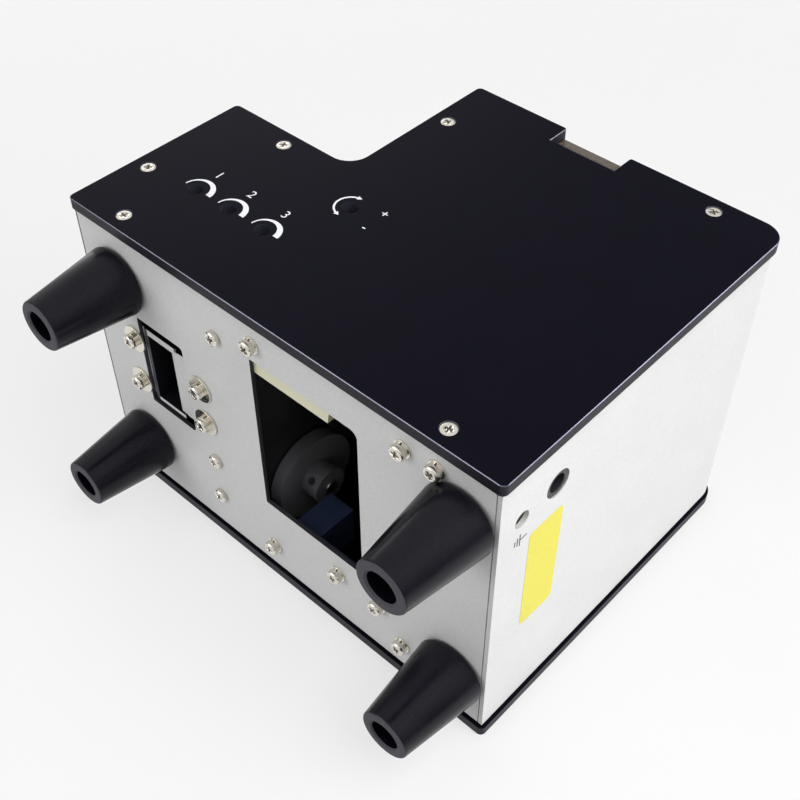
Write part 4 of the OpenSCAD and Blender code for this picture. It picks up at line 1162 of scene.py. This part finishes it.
@dataclass
class Sheets(SubAssembly):
    """Folded silver sheets, the drop duct and what is stuck or printed on the rear sheet."""

    edges: dict[str, float] = eased(
        bottom_plate=0.25, rear_plate=0.25, front_panel=0.25, step_cover=0.25, bulkhead=0.3
    )
    label_low: tuple[float, float] = (-16.6 * MM, 46.5 * MM)
    label_high: tuple[float, float] = (28.2 * MM, 62.0 * MM)
    label_corner: float = 2.0 * MM
    label_depth: float = 0.08 * MM
    sign_away: float = 9.0 * MM
    sign_line: float = 0.45 * MM
    sign_stem: float = 3.2 * MM
    sign_bars: tuple[float, ...] = (5.2 * MM, 3.7 * MM, 2.2 * MM)
    sign_pitch: float = 1.1 * MM
    sheet: float = 1.5 * MM
    rim: float = 8.0 * MM
    duct_inset: float = 1.6 * MM
    duct_fold: float = 1.1 * MM
    duct_reach: float = 1.3 * MM
    duct_edge: float = 0.35 * MM
    skim: float = 0.02 * MM
    bare_edge: float = 0.7 * MM
    lining_lean: float = -0.3

    def refine(self) -> None:
        """Replaces the sheets; the walls of the bottom sheet's openings and a strip along its front get painted
        shade.
        """
        super().refine()
        bottom = bpy.data.objects["bottom_plate_dressed"]
        bottom.data.materials.append(EDGE_SHADE.material())
        low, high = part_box("bottom_plate")
        for face in bottom.data.polygons:
            inside = all(low[i] + self.rim < face.center[i] < high[i] - self.rim for i in (0, 1))
            # Walls of the openings take slot 1, painted shade.
            face.material_index = int(inside and abs(face.normal.z) < SIDEWAYS)
        front = min(vertex.co.y for vertex in bottom.data.vertices if vertex.co.z < low.z + SLACK)
        # A strip under the front edge gets painted shade, a dark line along it.
        self.darken(bottom, low, Vector((high.x + self.sheet, front + self.bare_edge, low.z)))
        self.drop_duct(low.z + self.sheet)

    def drop_duct(self, floor: float) -> None:
        """Turns the rear wall of the drop duct into its flange and sets its right wall, a fold, further in.

        Args:
            floor: Height of the bottom sheet's upper face.
        """
        node, wall = "drop_chute", self.sheet
        duct = node_copy(node)
        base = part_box(node)[0].z + SLACK
        lip = [vertex.co.copy() for vertex in duct.data.vertices if vertex.co.z < base]
        low, high = Vector(map(min, *lip)), Vector(map(max, *lip))
        start = (low.x + wall, high.y - 2 * wall, low.z - wall)
        cut(duct, add_box("rear_lip", start, (high.x - wall, high.y + wall, floor)))
        near = high.x - wall - SLACK
        shift(duct, lambda at: at.x > near, (-self.duct_inset, 0, 0))
        inner = high.x - wall - self.duct_inset
        shift(duct, lambda at: abs(at.x - inner) < SLACK, (-self.duct_fold, 0, 0))
        shift(duct, lambda at: at.z < base and at.y > high.y - SLACK, (0, self.duct_reach, 0))
        dress(ease(duct, self.duct_edge), FINISHES[SLOT_OF[node]], DUCT_SHADE)
        # Faces that do not face down take painted shade; the lower ends keep the silver coat.
        for face in duct.data.polygons:
            face.material_index = int(face.normal.z > self.lining_lean)
        # The lower end of the front wall gets painted shade as well.
        self.darken(duct, low, Vector((high.x, low.y + wall, low.z)))
        stand_for(duct, node)

    def darken(self, piece: Piece, low: Vector, high: Vector) -> None:
        """Skims a strip off the underside of a piece and gives the new faces painted shade, a dark line there.

        Args:
            piece: The piece to skim.
            low: Lowest corner of the strip.
            high: Highest corner of the strip, on the underside.
        """
        past = Vector((self.sheet, self.sheet, self.sheet))
        strip = add_box("strip", low - past, high + Vector((0, 0, self.skim)))
        smooth(cut(piece, dress(strip, EDGE_SHADE)))

    def details(self) -> None:
        """Adds the blank label and the earth sign."""
        face_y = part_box("rear_plate")[1].y
        low = (self.label_low[0], face_y, self.label_low[1])
        high = (self.label_high[0], face_y + self.label_depth, self.label_high[1])
        label = add_box("rear_label", low, high)
        ease(label, self.label_corner, 6, where=along(1))
        install(dress(smooth(label), YELLOW_FILM), "chassis")
        self.earth_sign(face_y)

    def earth_sign(self, face_y: float) -> None:
        """Prints three shrinking bars and a stem beside the earth socket.

        Args:
            face_y: Outer face of the rear sheet.
        """
        mount = next(m for m in frame["record"]["mounts"] if m["name"] == "earth_socket")
        centre = Vector(mount["pos_m"])
        centre.y = face_y
        line = self.sign_line
        bars = [
            INK.bar("bar", width, line, (0, -row * self.sign_pitch))
            for row, width in enumerate(self.sign_bars)
        ]
        stem = INK.bar("earth_sign", line, self.sign_stem, (0, self.sign_stem / 2))
        mark = INK.lay(fuse(stem, *bars), Face.REAR, centre - Vector((self.sign_away, 0, 0)))
        install(dress(mark, BLACK_INK), "chassis")


@dataclass
class Feet(SubAssembly):
    """Four tall rubber feet, turned from one profile."""

    shoulder: float = 2.2 * MM
    shoulder_end: float = 8.0
    tip_round: float = 1.0 * MM
    tip_start: float = 6.0
    end_lean: float = -0.6
    mouth: float = 0.6 * MM
    recess: float = 5.25 * MM
    seat: float = 9.0 * MM
    bore: float = 2.55 * MM
    tip: float = 9.0 * MM
    sides: int = 96

    def details(self) -> None:
        """Turns one foot and copies it to each place."""
        nodes = [n for n in SLOT_OF if n.startswith("foot_") and n != "foot_screws"]
        low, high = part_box(nodes[0])
        base, height = (high.x - low.x) / 2, high.z - low.z
        curve, tip = self.shoulder, self.tip_round
        profile = [(self.bore, height), *arc((base - curve, height - curve), curve, 90, self.shoulder_end)]
        profile += arc((self.tip - tip, tip), tip, self.tip_start, -90)
        profile += [(self.recess + self.mouth, 0), (self.recess, self.mouth)]
        profile += [(self.recess, height - self.seat), (self.bore, height - self.seat), (self.bore, height)]
        master = dress(lathe("foot", profile, self.sides), FINISHES["foot_rubber"], FOOT_END_LIT)
        # Faces of the lower end that face down take slot 1, painted light on the end ring.
        for face in master.data.polygons:
            face.material_index = int(face.center.z < self.mouth and face.normal.z < self.end_lean)
        for node in nodes:
            centre = middle(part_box(node))
            place = Matrix.Translation((centre.x, centre.y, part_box(node)[0].z))
            stand_for(copy_of(master, f"{node}_turned", place), node)
        drop_away(master)


@dataclass
class Fasteners(SubAssembly):
    """Screws with cross recesses, washers and nuts."""

    edges: dict[str, float] = eased(
        flat_washers=0.10, large_washers=0.12, spring_washers=0.12, nuts=0.2, foot_screws=0.2
    )
    pan_head: float = 1.9 * MM
    shank: float = 1.3 * MM
    sides: int = 40
    pan_dome: float = 0.75 * MM
    pan_crown: float = 0.06 * MM
    pan_rim: float = 0.25 * MM
    side_head: float = 1.5 * MM
    side_rise: float = 0.04 * MM
    side_land: float = 0.6 * MM
    side_dome: float = 0.12 * MM
    side_edge: float = 0.15 * MM
    cross_length: float = 0.62
    cross_width: float = 0.15
    cross_depth: float = 0.6
    cross_taper: tuple[float, float, float] = (0.55, 0.7, 1.0)
    turn_step: float = 37.0

    def details(self) -> None:
        """Models the pan screws and the countersunk side screws."""
        self.group("pan_screws", self.pan_screw, lambda _: Face.BELOW)
        self.group("side_screws", self.side_screw, lambda at: Face.RIGHT if at.x > 0 else Face.LEFT)

    def group(
        self, node: str, make: Callable[[float, float], Piece], face_of: Callable[[Vector], Face]
    ) -> None:
        """Puts a modelled screw in place of each solid of a node.

        Args:
            node: Node that holds the screws.
            make: Makes a screw of a head radius and a length, its head's top at the origin.
            face_of: Face that a screw at a point is driven from.
        """
        masters: dict[tuple[float, float], Piece] = {}
        screws = []
        for index, (low, high) in enumerate(solids_of(node)):
            centre = middle((low, high))
            face = face_of(centre)
            normal = Vector(face.value[2])
            length = abs((high - low) @ normal)
            size = (round(abs((high - low) @ Vector(face.value[0])) / 2, DIGITS), round(length, DIGITS))
            if size not in masters:
                masters[size] = make(*size)
            top = Matrix.Translation(centre + normal * length / 2)
            turn = Matrix.Rotation(math.radians(self.turn_step * index), 4, "Z")
            screws.append(copy_of(masters[size], f"{node}_driven", top @ face.basis @ turn))
        drop_away(*masters.values())
        stand_for(join(*screws), node)

    def cross(self, radius: float, depth: float) -> list[Piece]:
        """Two tapered bars that cut a cross recess into a head and give its walls painted shade.

        Args:
            radius: Radius of the head.
            depth: Depth of the recess.

        Returns:
            The two bars.
        """
        tools = []
        for angle in (0, 90):
            half, thin = self.cross_length * radius, self.cross_width * radius
            tool = add_box("cross", (-half, -thin, -depth), (half, thin, depth))
            with editing(tool, "FACE"):
                bpy.ops.mesh.select_all(action="DESELECT")
                graph = bmesh.from_edit_mesh(tool.data)
                for face in graph.faces:
                    face.select_set(face.normal.z < -STRAIGHT)
                bmesh.update_edit_mesh(tool.data)
                bpy.ops.transform.resize(value=self.cross_taper)
            tool.rotation_euler.z = math.radians(angle)
            # The bars carry painted shade into the walls of the recess.
            tools.append(dress(settle(tool), RECESS_SHADE))
        return tools

    def turned(
        self, name: str, head: Sequence[Sequence[float]], radius: float, height: float, length: float
    ) -> Piece:
        """Turns a head on a plain shank and cuts a cross recess into it.

        Args:
            name: Name of the screw.
            head: Profile of the head, from the middle of its top.
            radius: Radius of the head.
            height: Height of the head.
            length: Length of the screw.

        Returns:
            The screw along Z, its head's top at the origin.
        """
        shank = [(self.shank, -height), (self.shank, -length), (0, -length)]
        screw = dress(lathe(name, [*head, *shank], self.sides), FINISHES["nickel_screw"])
        return smooth(cut(screw, *self.cross(radius, self.cross_depth * height)))

    def pan_screw(self, radius: float, length: float) -> Piece:
        """Screw with a pan head, which has a domed top and a round rim.

        Args:
            radius: Radius of the head.
            length: Length of the screw.

        Returns:
            The screw.
        """
        rim, dome, height = self.pan_rim, self.pan_dome, self.pan_head
        head = [(0, self.pan_crown), *arc((radius - dome, -dome), dome, 90, 0)]
        head += arc((radius - rim, rim - height), rim, 0, -90, 3)
        return self.turned("pan_screw", head, radius, height, length)

    def side_screw(self, radius: float, length: float) -> Piece:
        """Screw with a countersunk head, which is nearly flat.

        Args:
            radius: Radius of the head.
            length: Length of the screw.

        Returns:
            The screw.
        """
        edge, dome = self.side_edge, self.side_dome
        head = [(0, 0), (radius - self.side_land, -self.side_rise), (radius - edge, -dome)]
        head.append((radius, -dome - edge))
        return self.turned("side_screw", head, radius, self.side_head, length)


@dataclass
class FrontControls(SubAssembly):
    """Display, push buttons and power switch in the front panel."""

    edges: dict[str, float] = eased(
        display_lens=0.4, display_module=0.2, display_board=0.1, button_switches=0.2,
        power_switch_case=0.3, power_rocker=0.35,
    )
    digits: int = 4
    digit_pitch: float = 8.6 * MM
    digit_width: float = 5.4 * MM
    digit_height: float = 10.6 * MM
    segment: float = 1.0 * MM
    cap_round: float = 0.9 * MM
    flange: float = 1.2 * MM
    cap_radius: float = 4.5 * MM
    cap_sides: int = 72
    sign: float = 3.6 * MM
    stroke: float = 0.7 * MM
    rocker_lean: float = 16.0
    rocker_reach: float = 4.75 * MM
    rocker_flat: float = 1.15
    rocker_dish: float = 0.35 * MM
    rocker_ring: float = 1.5 * MM

    def details(self) -> None:
        """Adds digits, turned button caps and the signs on them."""
        self.display()
        self.buttons()
        self.rocker_signs()

    def display(self) -> None:
        """Seven-segment digits on the face of the display module, all at zero."""
        low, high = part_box("display_module")
        centre = middle((low, high))
        centre.y = low.y - INK.depth
        w, h, s = self.digit_width, self.digit_height, self.segment
        ends = [(w - s, s, (0, h / 2)), (w - s, s, (0, -h / 2))]
        sides = [(s, h / 2 - s, (x * w / 2, z * h / 4)) for x in (-1, 1) for z in (-1, 1)]
        lit = dress(join(*[INK.bar("lit", *bar) for bar in ends + sides]), LIT_RED)
        dark = dress(INK.bar("dark", w - s, s), DARK_SEGMENT)
        for index in range(self.digits):
            across = (index - (self.digits - 1) / 2) * self.digit_pitch
            for master, kind in ((lit, "lit"), (dark, "dark")):
                mark = copy_of(master, f"digit_{index}_{kind}")
                install(INK.lay(mark, Face.FRONT, centre + Vector((across, 0, 0))), "chassis")
        drop_away(lit, dark)

    def buttons(self) -> None:
        """Turns one button cap with a round rim and a flange, copies it and puts a sign on each copy."""
        low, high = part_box(BUTTONS[0])
        length, flange = high.y - low.y, (high.x - low.x) / 2
        radius, curve = self.cap_radius, self.cap_round
        profile = [(0, length), *arc((radius - curve, length - curve), curve, 90, 0)]
        profile += [(radius, self.flange), (flange, self.flange), (flange, 0), (0, 0)]
        master = lathe("cap", profile, self.cap_sides)
        for node in BUTTONS:
            low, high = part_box(node)
            x, _, z = middle((low, high))
            place = Matrix.Translation((x, high.y, z)) @ Face.FRONT.basis
            stand_for(copy_of(master, f"{node}_cap", place), node)
            sign = INK.lay(self.button_sign(node), Face.FRONT, (x, low.y, z))
            install(dress(sign, WHITE_INK), BODY_OF[node])
        drop_away(master)

    def button_sign(self, node: str) -> Piece:
        """Draws the sign of one button.

        Args:
            node: Name of the button.

        Returns:
            A triangle, a plus or a minus.
        """
        name = f"{node}_sign"
        if node == "start_button":
            return INK.triangle(name, self.sign / 2, (0, 0), 0)
        level = INK.bar(name, self.sign, self.stroke)
        if node == "minus_button":
            return level
        return fuse(level, INK.bar("upright", self.stroke, self.sign))

    def rocker_signs(self) -> None:
        """Line and ring on the two halves of the power switch."""
        low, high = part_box("power_rocker")
        joint = next(j for j in frame["joints"] if j["name"] == "power_rock")
        pivot = Vector(joint["pos_m"])
        half = (high.z - low.z) / 4
        rise = half * math.tan(math.radians(self.rocker_lean)) / self.rocker_flat
        upper = pivot + Vector((0, -self.rocker_reach - rise, half))
        lower = pivot + Vector((0, self.rocker_dish - self.rocker_reach, -half))
        line = INK.bar("rocker_line", self.stroke, self.sign)
        ring = INK.ring("rocker_ring", self.rocker_ring, self.stroke)
        for mark, centre, tilt in ((line, upper, self.rocker_lean), (ring, lower, 0.0)):
            INK.lay(mark, Face.FRONT, centre, tilt)
            install(dress(mark, WHITE_INK), "power_rocker")


@dataclass
class Covers(SubAssembly):
    """Smoked lid on its ledges, clear hood over the drop and the count sensor below it."""

    edges: dict[str, float] = eased(lid=0.5, lid_ledges=0.3, drop_hood=0.4, count_sensor=0.3)


@dataclass
class Feeder(SubAssembly):
    """Hopper, drum, rail and gate that bring the screws to the drop."""

    edges: dict[str, float] = eased(
        drum=0.35, rail_left_bar=0.3, rail_right_bar=0.3, rail_carrier=0.3, rail_catcher=0.2,
        gate_shaft=0.2, gate_bracket=0.3, gate_plate=0.2,
    )
    bin_edge: float = 0.4 * MM
    beam_side: float = 25.0 * MM
    beam_size: Vector = field(default_factory=lambda: Vector((6.0, 1.0, 8.0)) * MM)
    beam_more: float = 1.5 * MM
    beam_less: float = 2.0 * MM

    def details(self) -> None:
        """Replaces the hopper, with a fuller beam along the service window."""
        hopper = node_copy("hopper_bin")
        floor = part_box("hopper_bin")[0].z
        foot = [
            vertex.co.copy() for vertex in hopper.data.vertices
            if vertex.co.z < floor + SLACK and vertex.co.x > self.beam_side
        ]
        side = min(at.x for at in foot)
        corner = Vector((side, max(at.y for at in foot if at.x < side + SLACK), floor))
        low, high = corner - Vector((SLACK,) * 3), corner + self.beam_size
        shift(hopper, lambda at: all(low[i] < at[i] < high[i] for i in range(3)), (0, -self.beam_less, 0))
        shift(hopper, lambda at: abs(at.x - side) < SLACK and at.z < high.z, (-self.beam_more, 0, 0))
        stand_for(smooth(ease(hopper, self.bin_edge)), "hopper_bin")


@dataclass
class Drive(SubAssembly):
    """Motor, wheels and vibrator."""

    edges: dict[str, float] = eased(
        drive_wheel=0.5, drive_shaft=0.3, idler_wheel=0.5, idler_pin=0.3, gear_motor=0.5, motor_bracket=0.3,
        vibrator_armature=0.3, vibrator_coil=0.25, vibrator_base=0.4, leaf_springs=0.1,
    )


@dataclass
class Electronics(SubAssembly):
    """Control board, trimmers, supply block and sockets."""

    edges: dict[str, float] = eased(
        control_board=0.1, board_bracket=0.2, trimmer_cases=0.25, trimmer_front=0.15, trimmer_middle=0.15,
        trimmer_rear=0.15, power_module=0.5, dc_jack=0.25, earth_terminal=0.2,
    )


@dataclass(frozen=True)
class Lamp:
    """Soft rectangular lamp that is aimed at a point."""

    name: str
    eye: tuple[float, float, float]
    power: float
    size: float
    glossy: bool = True
    diffuse: bool = True
    aim: tuple[float, float, float] = (0.0, 0.0, 0.085)

    def hang(self) -> None:
        """Adds the lamp to the scene."""
        data = bpy.data.lights.new(self.name, "AREA")
        data.energy, data.size = self.power, self.size
        lamp = bpy.data.objects.new(self.name, data)
        bpy.context.scene.collection.objects.link(lamp)
        lamp.location = self.eye
        lamp.rotation_euler = (Vector(self.aim) - Vector(self.eye)).to_track_quat("-Z", "Y").to_euler()
        lamp.visible_glossy = self.glossy
        lamp.visible_diffuse = self.diffuse


@dataclass
class Studio:
    """Camera, lamps, world and the two pale floors: one for the lying view, one for the standing views."""

    eye: tuple[float, float, float] = (0.29292, 0.20131, -0.12807)
    target: tuple[float, float, float] = (-0.00865, 0.00310, 0.08680)
    lens: float = 54.087
    sensor: float = 36.0
    clip: tuple[float, float] = (0.01, 50.0)
    roll: float = -0.131
    floor_gap: float = 0.5 * MM
    floor_size: float = 6.0
    ambient: float = 0.45
    backdrop: float = 0.95
    bright_side: tuple[float, float, float] = (0.80, -0.10, -0.20)
    gloss_grade: tuple[float, float, float, float] = (-0.4, 0.6, 0.05, 0.9)
    floor_glow: float = 0.62
    floor_tone: float = 0.28
    fade: tuple[float, float] = (0.25, 0.75)
    flat_fade: tuple[float, float] = (0.70, 0.88)
    lamps: tuple[Lamp, ...] = (
        Lamp("key", (0.70, 0.45, 0.10), 4.6, 0.6, glossy=False),
        Lamp("rear", (0.20, 1.00, 0.30), 5.4, 0.8, glossy=False),
        Lamp("fill_below", (0.30, -0.35, -0.60), 2.3, 0.5),
        Lamp("fill_front", (0.15, -0.75, 0.55), 2.2, 0.6),
        Lamp("fill_left", (-0.80, 0.45, 0.55), 2.2, 0.6),
        Lamp("rim", (0.35, 0.70, 0.70), 4.0, 0.5, diffuse=False),
    )

    def build(self) -> None:
        """Sets up the whole studio."""
        scene = bpy.context.scene
        scene.view_settings.view_transform = "Standard"
        self.camera(scene)
        self.world(scene)
        low = CAD_BOX[0]
        self.floor("lying_floor", (low.x - self.floor_gap, 0, low.z), Face.RIGHT, grazing=True)
        self.floor("standing_floor", (0, 0, low.z), Face.ABOVE, grazing=False)
        for lamp in self.lamps:
            lamp.hang()

    def camera(self, scene: bpy.types.Scene) -> None:
        """Places the camera of the photograph, in which +X points up.

        Args:
            scene: The scene that gets the camera.
        """
        eye, target = Vector(self.eye), Vector(self.target)
        forward = (target - eye).normalized()
        right = forward.cross(Vector((1, 0, 0))).normalized()
        basis = Matrix((right, right.cross(forward), -forward)).transposed()
        data = bpy.data.cameras.new("camera")
        data.lens, data.sensor_width = self.lens, self.sensor
        data.clip_start, data.clip_end = self.clip
        camera = bpy.data.objects.new("camera", data)
        scene.collection.objects.link(camera)
        turn = Matrix.Rotation(math.radians(self.roll), 4, "Z")
        camera.matrix_world = Matrix.Translation(eye) @ basis.to_4x4() @ turn
        scene.camera = camera

    def world(self, scene: bpy.types.Scene) -> None:
        """White to the camera and through glass, graded in gloss and a soft even light elsewhere.

        Args:
            scene: The scene that gets the world.
        """
        world = bpy.data.worlds.new("studio_world")
        scene.world = world
        nodes = Nodes(world)
        path = nodes.add("LightPath").outputs
        way = nodes.add("TexCoord").outputs["Generated"]
        bright = Vector(self.bright_side).normalized()
        facing = nodes.add("VectorMath", {0: way, 1: bright}, operation="DOT_PRODUCT").outputs["Value"]
        light, gloss, white = [
            nodes.add("Background", {"Color": WHITE, "Strength": strength}).outputs[0]
            for strength in (self.ambient, nodes.span(facing, self.gloss_grade), self.backdrop)
        ]
        unseen = nodes.mix(path["Is Glossy Ray"], light, gloss)
        seen = nodes.larger(path["Is Camera Ray"], path["Is Transmission Ray"])
        nodes.add("OutputWorld", {"Surface": nodes.mix(seen, unseen, white)})

    def floor(self, name: str, centre: Sequence[float], face: Face, grazing: bool) -> None:
        """Adds a pale floor that is seen from its upper side only.

        Args:
            name: Name of the floor.
            centre: A point of the floor.
            face: Direction that it faces.
            grazing: Whether it fades where it is seen at a flat angle.
        """
        bpy.ops.object.select_all(action="DESELECT")
        bpy.ops.mesh.primitive_plane_add(size=self.floor_size)
        floor = newest(name)
        floor.matrix_world = Matrix.Translation(centre) @ face.basis
        settle(floor)
        floor.data.materials.append(self.floor_material(name, grazing))
        floor.visible_shadow = False
        floor.visible_glossy = grazing
        floor.visible_transmission = False
        floor.visible_diffuse = False

    def floor_material(self, name: str, grazing: bool) -> bpy.types.Material:
        """Matt white that glows a little to the camera and fades into the backdrop far from the object.

        Args:
            name: Name of the material.
            grazing: Whether it also fades where it is seen at a flat angle.

        Returns:
            A material that is clear from behind.
        """
        material = bpy.data.materials.new(name)
        nodes = Nodes(material)
        glow = nodes.add("Emission", {"Strength": self.floor_glow}).outputs[0]
        matt = nodes.add("BsdfDiffuse", {"Color": (self.floor_tone,) * 3 + (1.0,)}).outputs[0]
        lit = nodes.add("AddShader", {0: glow, 1: matt}).outputs[0]
        place = nodes.add("TexCoord").outputs["Object"]
        away = nodes.add("VectorMath", {0: place, 1: self.target}, operation="DISTANCE").outputs["Value"]
        fades = [(away, self.fade)]
        if grazing:
            fades.append((nodes.add("LayerWeight").outputs["Facing"], self.flat_fade))
        clear = nodes.add("NewGeometry").outputs["Backfacing"]
        for source, reach in fades:
            clear = nodes.larger(clear, nodes.span(source, (*reach, 0.0, 1.0), "SMOOTHSTEP"))
        glass = nodes.add("BsdfTransparent").outputs[0]
        nodes.add("OutputMaterial", {"Surface": nodes.mix(clear, lit, glass)})
        return material


def main() -> None:
    """Builds the studio and every sub-assembly in order."""
    logging.basicConfig(level=logging.INFO, format="%(name)s: %(message)s")
    Studio().build()
    groups = (
        SidePlates, Sheets, Feet, Fasteners, FrontControls, Covers, Feeder, Drive, Electronics,
    )
    for group in groups:
        LOG.info("building %s", group.__name__)
        group().build()


if __name__ == "__main__":
    main()
